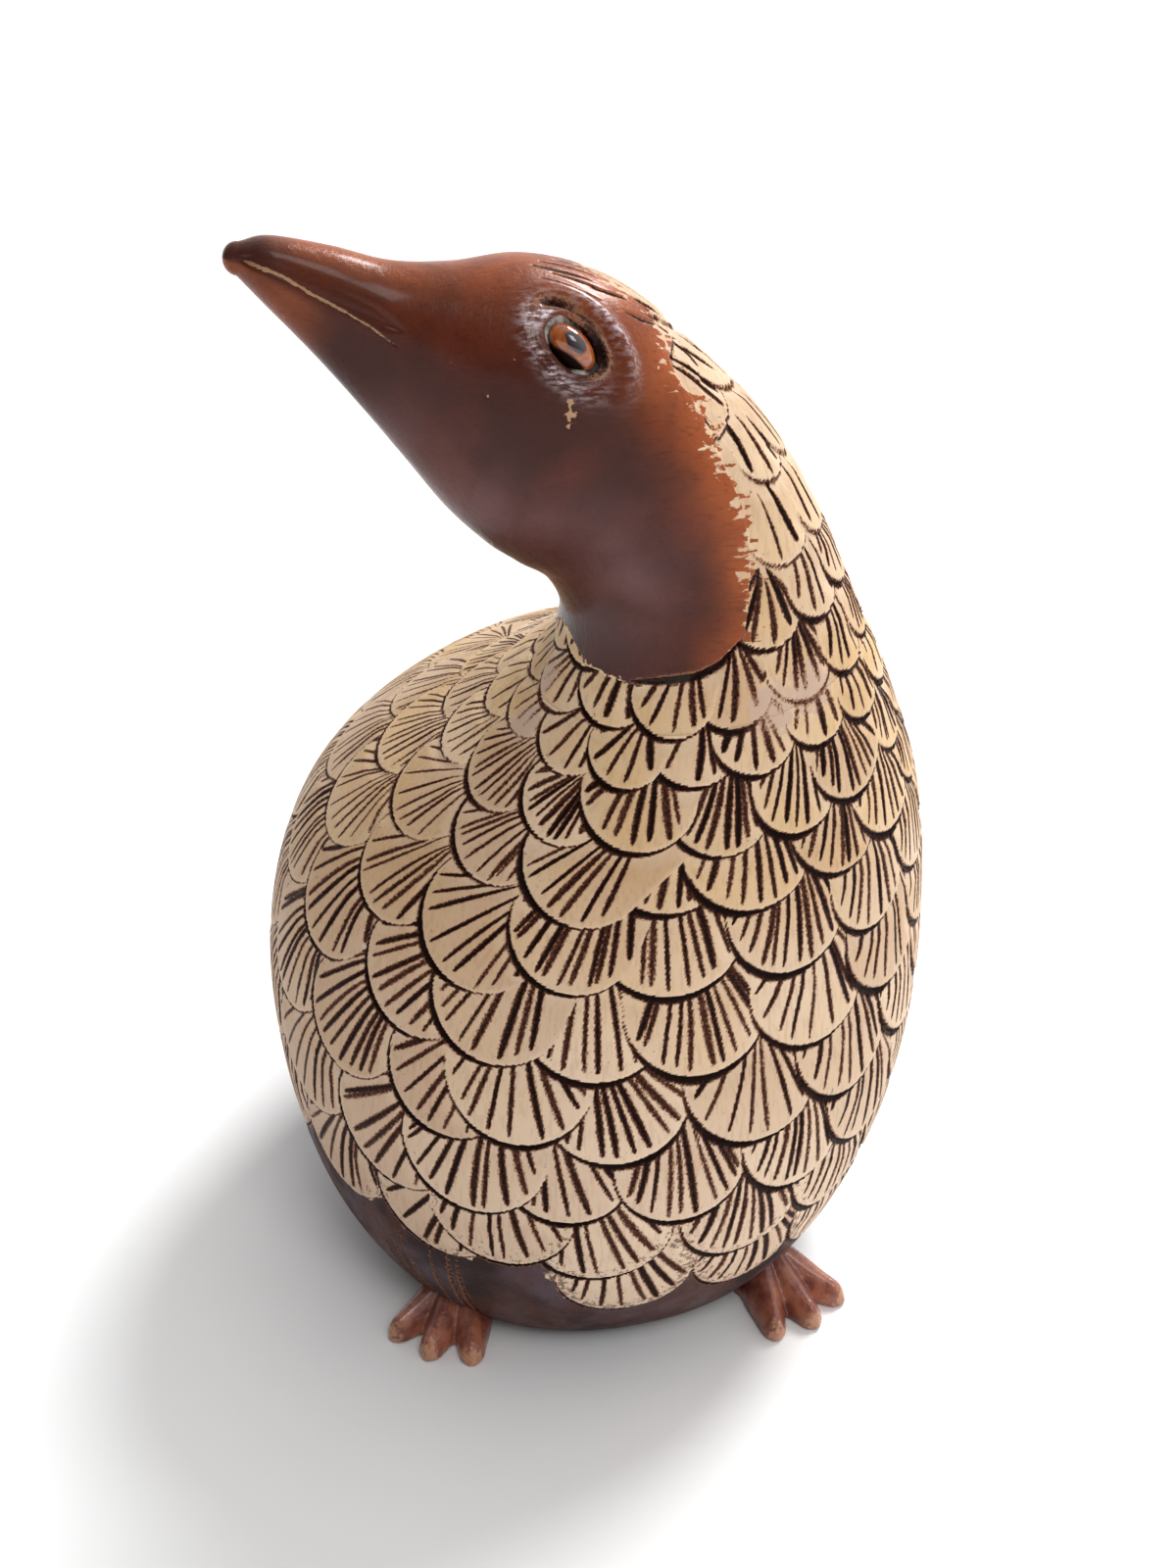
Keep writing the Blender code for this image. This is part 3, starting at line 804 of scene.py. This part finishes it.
CREAM = linear(226, 201, 176)
CREAM_YELLOW = linear(214, 180, 134)
CREAM_WORN_AND_SHADED = linear(158, 112, 84)
CREAM_HIGHLIGHT = linear(240, 222, 198)
FILLER_PINK = linear(196, 168, 150)
BLACK_CUT_AND_SHADOW = linear(22, 7, 4)
CUT_BROWN = linear(76, 42, 30)
LACQUER = linear(86, 37, 24)
LACQUER_DARK = linear(47, 19, 14)
LACQUER_THIN_AND_TOP_LIT = linear(160, 82, 42)
LACQUER_DUSK = linear(62, 35, 32)
LACQUER_SCUFF_AND_HIGHLIGHT = linear(170, 150, 152)
PALE_SCUFF_AND_HIGHLIGHT = linear(228, 216, 224)
BASE_STAIN = linear(90, 74, 80)
BASE_DARK = linear(54, 40, 40)
BASE_RED = linear(84, 54, 47)
LACQUER_SHEEN = linear(112, 80, 80)
LACQUER_CHIP = linear(184, 146, 112)


def cream_paint(s):
    """Cream paint, worn back over the wood: pinkish low down, yellower up the neck, with brown showing in specks;
    darker as painted shade on the right flank and under covering feathers, lighter as a painted highlight on the
    bevels.
    """
    tone = s.step(s.layer("tone"), -1.5, 3.6)
    height = s.node("SeparateXYZ", {0: s.place}).outputs["Z"]
    high = s.step(height, 0.05, 0.2, 0.05, 0.8)
    high = s.math("MULTIPLY", high, s.step(height, 0.21, 0.26, 1.0, 0.4))
    patch = s.step(s.noise(38, 3), 0.36, 0.66, 0.55, 1.35)
    color = s.mix(s.math("MULTIPLY", high, patch, clamp=True), CREAM, CREAM_YELLOW)
    # Random tone and painted shade both darken the cream here.
    color = s.mix(s.math("MULTIPLY", tone, 0.36), color, CREAM_WORN_AND_SHADED)
    fibres = s.step(s.noise(1.1, 4, (1, 1, 0.16)), 0.46, 0.7)
    color = s.mix(s.math("MULTIPLY", fibres, 0.2), color, CREAM_WORN_AND_SHADED)
    # Painted highlight: lighter cream on the bevels beside the grooves.
    color = s.mix(s.math("MULTIPLY", s.layer("bevel_highlight"), 0.3), color, CREAM_HIGHLIGHT)
    limit = s.math("MULTIPLY_ADD", s.layer("dirt"), -0.2, 0.68)
    specks = s.math("SUBTRACT", s.noise(1.5, 6, lumps=0.7, shift=3), limit)
    color = s.mix(s.step(specks, 0.0, 0.06, 0, 0.75), color, CUT_BROWN)
    filler = s.math("MULTIPLY_ADD", s.math("SUBTRACT", s.noise(2.5, 5, shift=4), 0.5), 1.3, s.layer("fill"))
    return s.mix(s.step(filler, 0.3, 0.6, 0, 0.85), color, FILLER_PINK)


def lacquered(s):
    """Red-brown lacquer with fine grain: orange where it is worn thinner and, on the crown, lighter as painted light
    from above; pale round the eyes with scuffs and a painted highlight on the brow; a painted reflection on the throat.
    """
    cloud = s.step(s.noise(26, 4), 0.36, 0.66, 0.15, 0.85)
    color = s.mix(cloud, LACQUER_DARK, LACQUER)
    # Orange where the lacquer is worn thinner by the border, and painted light over the crown.
    thin_and_top_lit = s.math("MULTIPLY", s.layer("thin_lacquer_and_top_light"), s.step(s.noise(15, 4, shift=4), 0.3, 0.6, 0.55, 1.0))
    color = s.mix(thin_and_top_lit, color, LACQUER_THIN_AND_TOP_LIT)
    color = s.mix(s.math("MULTIPLY", s.layer("dusk"), 0.8), color, LACQUER_DUSK)
    grain = s.step(s.noise(0.9, 4, (0.2, 1, 1)), 0.5, 0.72)
    color = s.mix(s.math("MULTIPLY", grain, 0.3), color, LACQUER_DARK)
    scratched = s.step(s.noise(0.9, 5, (0.3, 1, 1), lumps=0.6, shift=6), 0.42, 0.64)
    scuffed_and_lit = s.math("MULTIPLY", scratched, s.layer("scuffs_and_highlight"))
    # Scuffed lacquer, with the painted brow highlight going pale to near white.
    color = s.mix(scuffed_and_lit, color, LACQUER_SCUFF_AND_HIGHLIGHT)
    color = s.mix(s.step(scuffed_and_lit, 0.55, 1.1, 0, 0.75), color, PALE_SCUFF_AND_HIGHLIGHT)
    # Painted reflection: a soft mauve sheen over the throat.
    painted_sheen = s.math("MULTIPLY", s.layer("painted_sheen"), s.step(s.noise(14, 4, shift=12), 0.3, 0.7, 0.3, 0.65))
    color = s.mix(painted_sheen, color, LACQUER_SHEEN)
    chips = s.math("MULTIPLY_ADD", s.math("SUBTRACT", s.noise(1.0, 4, shift=8), 0.5), 2.0, s.layer("dirt"))
    return s.mix(s.step(chips, 0.5, 0.7, 0, 0.8), color, LACQUER_CHIP)


def base_stain(s):
    cloud = s.step(s.noise(20, 4, shift=2), 0.38, 0.66)
    color = s.mix(cloud, BASE_DARK, BASE_STAIN)
    color = s.mix(s.step(s.noise(26, 3, shift=5), 0.45, 0.6, 0, 0.7), color, BASE_RED)
    streaks = s.step(s.noise(1.2, 4, (1, 1, 0.1)), 0.55, 0.7)
    return s.mix(s.math("MULTIPLY", streaks, 0.3), color, BASE_DARK)


def carved_material(name):
    """Painted and lacquered wood over the carving: each coat goes where the skin's layers put it."""
    s = Shader(name, Specular_IOR_Level=0.07, Coat_Roughness=0.16)
    cream, cut = s.layer("cream"), s.layer("cut")
    ragged = s.math("SUBTRACT", s.noise(3.2, 5, shift=1), 0.5)
    brushed = s.math("SUBTRACT", s.noise(1.5, 4, (0.22, 0.8, 1), lumps=0.6, shift=10), 0.5)
    border = s.math("MULTIPLY_ADD", ragged, 12.0, s.layer("border"))
    border = s.math("MULTIPLY_ADD", brushed, 26.0, border)
    head = s.step(border, -0.35, 0.35)
    painted = s.step(s.math("MULTIPLY_ADD", ragged, 1.5, cream), 0.42, 0.58)
    color = s.mix(painted, base_stain(s), cream_paint(s))
    color = s.mix(head, color, lacquered(s))
    worn = s.math("MULTIPLY_ADD", s.math("SUBTRACT", s.noise(0.7, 5, lumps=0.7, shift=5), 0.5), 1.7, cut)
    carved = s.step(cut, 0.0, 0.1)
    halo = s.math("MULTIPLY", s.step(worn, 0.02, 0.2, 0, 0.75), carved)
    color = s.mix(halo, color, CREAM_WORN_AND_SHADED)
    color = s.mix(s.math("MULTIPLY", s.step(worn, 0.16, 0.42), carved), color, CUT_BROWN)
    # Black in the carved grooves, and painted shade round the eyes and at the lower left of each stop cut.
    color = s.mix(s.step(worn, 0.46, 0.84), color, BLACK_CUT_AND_SHADOW)
    fine = s.bump(s.noise(0.7, 4), 0.12)
    flow = s.bump(s.noise(2.6, 3, (1, 1, 0.3)), 0.25, normal=fine)
    gloss = s.math("MULTIPLY_ADD", s.layer("scuffs_and_highlight"), 0.4, 0.22)
    s.feed(s.surface.inputs["Coat Weight"], s.math("MULTIPLY", head, gloss))
    rough = s.step(s.noise(7, 4, shift=7), 0.3, 0.7, 0.42, 0.6)
    glossy = s.step(s.noise(9, 3, shift=9), 0.3, 0.7, 0.24, 0.36)
    rough_mix = s.node("Mix", data_type="FLOAT")
    s.feed(rough_mix.inputs[0], head)
    s.feed(rough_mix.inputs[2], rough)
    s.feed(rough_mix.inputs[3], glossy)
    return s.finish(color, rough_mix.outputs[0], flow)


def plain_wood(name, light, dark, roughness):
    s = Shader(name)
    rings = s.step(s.noise(3, 4, (1, 1, 0.12)), 0.35, 0.65)
    return s.finish(s.mix(rings, linear(*dark), linear(*light)), roughness, s.bump(rings, 0.1))


# ---------------------------------------------------------------- feet

FOOT_PLACES = {"right": (-46, -42, -36), "left": (42, -56, 19)}
TOE_FAN = 26
TOE_ROOT_BACK = 6
TOE_LENGTH = 37
FOOT_VOXEL = 0.5


def ring_mesh(shape, rings):
    loops = [[shape.verts.new(Vector(p) * MM) for p in ring] for ring in rings]
    for lower, upper in zip(loops, loops[1:]):
        for i in range(len(lower)):
            k = (i + 1) % len(lower)
            shape.faces.new((lower[i], lower[k], upper[k], upper[i]))
    shape.faces.new(reversed(loops[0]))
    shape.faces.new(loops[-1])


def toe_rings(turn, length):
    """A toe like a long drop, with a ridge along its top and a blunt tip."""
    rings = []
    count = 26
    for i in range(count + 1):
        t = i / count
        blunt = math.sqrt(max(0.03, 1 - max(0.0, (t - 0.9) / 0.103) ** 2))
        half = (6.3 - 3.1 * float(smoothstep(0.5, 1.05, t))) * blunt
        high = (17 - 10.5 * float(smoothstep(0.15, 1.05, t))) * blunt
        ring = []
        for k in range(20):
            a = 2 * math.pi * k / 20
            x = half * math.cos(a)
            lift = max(0.0, math.sin(a))
            z = high * (0.8 * lift**0.8 + 0.2 * lift**4)
            y = TOE_ROOT_BACK - length * t
            ring.append((x * math.cos(turn) - y * math.sin(turn), x * math.sin(turn) + y * math.cos(turn), z + 0.2))
        rings.append(ring)
    return rings


def toe_wear(spot):
    """1 on a toe's bare tip, falling to 0 a few millimetres behind it."""
    fan = math.radians(TOE_FAN)
    ahead = max(spot.x * math.sin(turn) - spot.y * math.cos(turn) for turn in (-fan, 0, fan))
    return float(smoothstep(0.84, 1.0, (ahead + TOE_ROOT_BACK) / TOE_LENGTH))


def foot_object(side):
    x, y, splay = FOOT_PLACES[side]
    shape = bmesh.new()
    for turn in (-TOE_FAN, 0, TOE_FAN):
        rings = toe_rings(math.radians(turn), TOE_LENGTH)
        lifted = [[(p[0], p[1], p[2] if k <= 10 else 0.2) for k, p in enumerate(ring)] for ring in rings]
        ring_mesh(shape, lifted)
    fan = []
    for k in range(13):
        a = math.radians(-32 + 64 * k / 12)
        fan.append((21 * math.sin(a), -21 * math.cos(a)))
    fan += [(12, 18), (-12, 18)]
    ring_mesh(shape, [[(px, py, z) for px, py in fan] for z in (0.2, 3.2)])
    bmesh.ops.recalc_face_normals(shape, faces=shape.faces)
    mesh = bpy.data.meshes.new(f"carved_foot_{side}")
    shape.to_mesh(mesh)
    shape.free()
    obj = link(f"carved_foot_{side}", mesh)
    remesh = obj.modifiers.new("merge", "REMESH")
    remesh.mode = "VOXEL"
    remesh.voxel_size = FOOT_VOXEL * MM
    soften = obj.modifiers.new("soften", "SMOOTH")
    soften.factor = 0.5
    soften.iterations = 2
    graph = bpy.context.evaluated_depsgraph_get()
    shaped = bpy.data.meshes.new_from_object(obj.evaluated_get(graph))
    obj.modifiers.clear()
    obj.data = shaped
    bpy.data.meshes.remove(mesh)
    worn = [toe_wear(vertex.co / MM) for vertex in shaped.vertices]
    shaped.attributes.new("worn", "FLOAT", "POINT").data.foreach_set("value", worn)
    place = Matrix.Translation((x * MM, y * MM, 0)) @ Matrix.Rotation(math.radians(splay), 4, "Z")
    shaped.transform(place)
    shaped.name = f"carved_foot_{side}"
    shaped.shade_smooth()
    return obj


def foot_material():
    s = Shader("stained_foot", Coat_Weight=0.25)
    cloud = s.step(s.noise(6, 4), 0.36, 0.66)
    color = s.mix(cloud, linear(116, 60, 48), linear(166, 102, 78))
    # Lighter along sharp ridges as a painted highlight, and darker grey in the creases as painted shade.
    high = s.node("NewGeometry").outputs["Pointiness"]
    color = s.mix(s.step(high, 0.53, 0.62, 0, 0.6), color, linear(190, 128, 96))
    color = s.mix(s.step(high, 0.49, 0.4, 0, 0.75), color, linear(104, 86, 80))
    bare = s.math("MULTIPLY_ADD", s.math("SUBTRACT", s.noise(1.5, 4, shift=2), 0.5), 1.6, s.layer("worn"))
    color = s.mix(s.step(bare, 0.62, 0.95, 0, 0.8), color, linear(190, 138, 104))
    return s.finish(color, s.step(s.noise(4, 3), 0.3, 0.7, 0.25, 0.45), s.bump(s.noise(1.2, 4), 0.2))


# ---------------------------------------------------------------- eyes

BEAD_RADIUS = 5.6
BEAD_STRETCH = (1.15, 0.68, 1)  # along the lids, across them, and out of the head
BEAD_SET_IN = 3.1
PUTTY_SQUASH = 0.7
SIDES = {"left": -1, "right": 1}


def putty_object(side):
    """The ring of putty that holds a bead, low where the bead's edge lies in shadow."""
    point, long_way, across, out = eye_axes(SIDES[side])
    turns = np.radians(np.arange(0, 360, 4))
    rings = []
    for reach, deep in ((2.5, -7), (3.4, -3.2), (4.4, -1.9), (5.0, -1.1), (5.8, -0.65), (6.6, -0.55), (7.4, -0.9), (8.0, -2.2),
                        (8.2, -9), (2.5, -9)):
        ring = []
        for turn in turns:
            p, q = reach * math.cos(turn), PUTTY_SQUASH * reach * math.sin(turn)
            bearing = math.degrees(turn)
            low = 2.3 * bump_at(bearing, 58, 45) + 1.9 * bump_at(bearing, 258, 46) * (reach < 6.4)
            lump = 0.18 * math.sin(5 * turn + reach) + 0.12 * math.sin(11 * turn - 2 * reach)
            height = deep - (low - lump) * (-3 < deep)
            ring.append(tuple(point + p * long_way + q * across + height * out))
        rings.append(ring)
    shape = bmesh.new()
    loops = [[shape.verts.new(Vector(corner) * MM) for corner in ring] for ring in rings]
    for first, second in zip(loops, loops[1:] + loops[:1]):
        for i in range(len(first)):
            k = (i + 1) % len(first)
            shape.faces.new((first[i], first[k], second[k], second[i]))
    bmesh.ops.recalc_face_normals(shape, faces=shape.faces)
    mesh = bpy.data.meshes.new(f"putty_ring_{side}")
    shape.to_mesh(mesh)
    shape.free()
    mesh.shade_smooth()
    values = []
    for ring, reach in zip(rings, (2.5, 3.4, 4.4, 5.0, 5.8, 6.6, 7.4, 8.0, 8.2, 2.5)):
        for turn in turns:
            bearing = math.degrees(turn)
            # Painted shadow: the putty is black round the bead, grey only on its outer part at the front corner and the
            # lower nape side.
            shade = 1 - (bump_at(bearing, 184, 62) + 0.8 * bump_at(bearing, 322, 26)) * (reach > 4.9)
            values.append(float(np.clip(shade, 0, 1)))
    mesh.attributes.new("cut", "FLOAT", "POINT").data.foreach_set("value", values)
    return link(f"putty_ring_{side}", mesh)


def putty_material():
    s = Shader("grey_putty")
    color = s.mix(s.step(s.noise(1.4, 4), 0.36, 0.62), linear(104, 92, 84), linear(156, 150, 140))
    shade = s.math("MULTIPLY_ADD", s.math("SUBTRACT", s.noise(1.1, 4), 0.5), 0.6, s.layer("cut"))
    # Painted shadow on the putty.
    color = s.mix(s.step(shade, 0.3, 0.6), color, BLACK_CUT_AND_SHADOW)
    return s.finish(color, 0.7, s.bump(s.noise(0.8, 4), 0.25))


def bead_object(side):
    point, long_way, across, out = eye_axes(SIDES[side])
    shape = bmesh.new()
    bmesh.ops.create_uvsphere(shape, u_segments=64, v_segments=40, radius=BEAD_RADIUS * MM)
    turn = Matrix((long_way, across, out)).transposed().to_4x4()
    centre = Vector(point - BEAD_SET_IN * out) * MM
    mesh = bpy.data.meshes.new(f"eye_glass_{side}")
    gaze = shape.verts.layers.float.new("gaze")
    lid_shadow = shape.verts.layers.float.new("lid_shadow")
    for vert in shape.verts:
        vert[gaze] = math.degrees(vert.co.angle(Vector((0, 0, 1))))
        # Painted shadow: the bead's lower edge, under the lid, is marked to be painted black.
        vert[lid_shadow] = float(smoothstep(0.6, 0.72, (0.3 * vert.co.x - vert.co.y) / (BEAD_RADIUS * MM)))
    shape.transform(Matrix.Translation(centre) @ turn @ Matrix.Diagonal((*BEAD_STRETCH, 1)))
    bmesh.ops.recalc_face_normals(shape, faces=shape.faces)
    shape.to_mesh(mesh)
    shape.free()
    mesh.shade_smooth()
    return link(f"eye_glass_{side}", mesh)


def bead_material():
    s = Shader("eye_glass", Coat_Roughness=0.05)
    gaze = s.layer("gaze")
    wobble = s.math("MULTIPLY_ADD", s.math("SUBTRACT", s.noise(1.2, 3), 0.5), 9.0, gaze)
    iris = s.mix(s.step(s.noise(1.6, 3), 0.35, 0.65), linear(168, 88, 36), linear(126, 62, 30))
    color = s.mix(s.step(wobble, 23, 27), linear(50, 38, 40), iris)
    color = s.mix(s.step(wobble, 60, 70), color, linear(44, 20, 14))
    # Painted shadow of the lid on the bead: black, with less gloss.
    color = s.mix(s.layer("lid_shadow"), color, BLACK_CUT_AND_SHADOW)
    s.feed(s.surface.inputs["Coat Weight"], s.math("MULTIPLY_ADD", s.layer("lid_shadow"), -0.8, 0.8))
    s.feed(s.surface.inputs["Specular IOR Level"], s.math("MULTIPLY_ADD", s.layer("lid_shadow"), -0.45, 0.5))
    return s.finish(color, s.math("MULTIPLY_ADD", s.layer("lid_shadow"), 0.5, 0.12))


# ---------------------------------------------------------------- stage


def floor_object():
    shape = bmesh.new()
    bmesh.ops.create_grid(shape, x_segments=1, y_segments=1, size=12)
    mesh = bpy.data.meshes.new("floor")
    shape.to_mesh(mesh)
    shape.free()
    obj = link("floor", mesh)
    obj.location.z = -0.0003
    s = Shader("pale_floor")
    mesh.materials.append(s.finish(s.mix(s.noise(60, 2), (0.86, 0.86, 0.86, 1), (0.9, 0.9, 0.9, 1)), 0.7))
    return obj


def area_light(name, place, aim, size, power, color=(1, 1, 1)):
    data = bpy.data.lights.new(name, "AREA")
    data.size = size
    data.energy = power
    data.color = color
    obj = bpy.data.objects.new(name, data)
    bpy.context.scene.collection.objects.link(obj)
    obj.location = place
    obj.rotation_euler = (Vector(aim) - Vector(place)).to_track_quat("-Z", "Y").to_euler()
    return obj


CAMERA_AZIMUTH = math.radians(-15)
CAMERA_ELEVATION = math.radians(24)
CAMERA_AIM = Vector((-0.001, -0.015, 0.156))
CAMERA_DISTANCE = 0.4


def add_camera():
    data = bpy.data.cameras.new("camera")
    data.sensor_width = 36
    data.lens = 31.5
    data.clip_start = 0.01
    obj = bpy.data.objects.new("camera", data)
    bpy.context.scene.collection.objects.link(obj)
    flat = math.cos(CAMERA_ELEVATION)
    away = Vector((flat * math.sin(CAMERA_AZIMUTH), -flat * math.cos(CAMERA_AZIMUTH), math.sin(CAMERA_ELEVATION)))
    obj.location = CAMERA_AIM + CAMERA_DISTANCE * away
    obj.rotation_euler = (-away).to_track_quat("-Z", "Y").to_euler()
    bpy.context.scene.camera = obj


def light_scene():
    """White studio walls, brighter to the right and behind, with a key light over the duck's shoulder."""
    world = bpy.data.worlds.new("studio")
    world.use_nodes = True
    tree = world.node_tree
    place = tree.nodes.new("ShaderNodeTexCoord")
    walls = []
    for direction, low, high, dim, bright in (((0.85, 0.33, 0.41), -0.55, 0.6, 0.06, 1.0), ((0, 1, 0), 0.65, 0.8, 0, 1.05)):
        toward = tree.nodes.new("ShaderNodeVectorMath")
        toward.operation = "DOT_PRODUCT"
        toward.inputs[1].default_value = direction
        tree.links.new(place.outputs["Generated"], toward.inputs[0])
        ease = tree.nodes.new("ShaderNodeMapRange")
        for key, value in (("From Min", low), ("From Max", high), ("To Min", dim), ("To Max", bright)):
            ease.inputs[key].default_value = value
        tree.links.new(toward.outputs["Value"], ease.inputs["Value"])
        walls.append(ease.outputs[0])
    brighter = tree.nodes.new("ShaderNodeMath")
    brighter.operation = "MAXIMUM"
    tree.links.new(walls[0], brighter.inputs[0])
    tree.links.new(walls[1], brighter.inputs[1])
    back = tree.nodes["Background"]
    back.inputs["Color"].default_value = (1, 1, 1, 1)
    tree.links.new(brighter.outputs[0], back.inputs["Strength"])
    bpy.context.scene.world = world
    bpy.context.scene.view_settings.view_transform = "Standard"
    sun = bpy.data.lights.new("key", "SUN")
    sun.energy = 3.0
    sun.angle = math.radians(20)
    key = bpy.data.objects.new("key", sun)
    bpy.context.scene.collection.objects.link(key)
    key.rotation_euler = Vector((-0.5, -0.38, -0.78)).to_track_quat("-Z", "Y").to_euler()
    area_light("front", (0.1, -0.9, 1.2), (0, 0, 0.15), 0.5, 4.5)


# ---------------------------------------------------------------- assembly


def place(obj, slot, material, *nodes):
    if material:
        obj.data.materials.clear()
        obj.data.materials.append(material)
    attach(obj, "root")
    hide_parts(*nodes)


def build():
    lower = Relief(0, SEAM_STATION, BODY_COLUMNS)
    upper = Relief(SEAM_STATION, SEAT_STATION, BODY_COLUMNS)
    head = Relief(SEAT_STATION, TIP_STATION, HEAD_COLUMNS, tip=True)
    for relief in (lower, upper, head):
        lay_grounds(relief)
    carve_all((lower, upper, head))
    smooth_head(head)
    base_stripes(lower)
    lobe_groove(head)
    crown_cuts(head)
    mouth_line(head)
    nape_cuts(head)
    for side in (-1, 1):
        eye_socket(head, side)
    for relief in (upper, head):
        repairs(relief)
    stroke(head, [(13.15, -114), (13.05, -124), (12.85, -132), (12.8, -146)], 0.4, 0.25, 0.4, layer="dirt")
    body_skin = carved_material("painted_carving")
    head_skin = carved_material("lacquered_carving")
    place(relief_object("carved_body_lower", lower), "painted_wood", body_skin, "body_lower_half")
    place(relief_object("carved_body_upper", upper), "painted_wood", body_skin, "body_upper_half")
    place(relief_object("carved_head_neck", head), "lacquered_wood", head_skin, "head_neck_block")
    glass, putty, stain = bead_material(), putty_material(), foot_material()
    for side in ("left", "right"):
        place(bead_object(side), "eye_bead", glass, f"eye_bead_{side}")
        place(putty_object(side), "putty", putty, f"eye_putty_{side}")
        place(foot_object(side), "foot_wood", stain, f"foot_{side}")
    dowel = plain_wood("dowel_wood", (205, 172, 120), (170, 130, 82), 0.7)
    for obj in bpy.data.objects:
        if "dowel" in obj.name and obj.type == "MESH":
            obj.data.materials.clear()
            obj.data.materials.append(dowel)
    floor_object()
    add_camera()
    light_scene()


build()
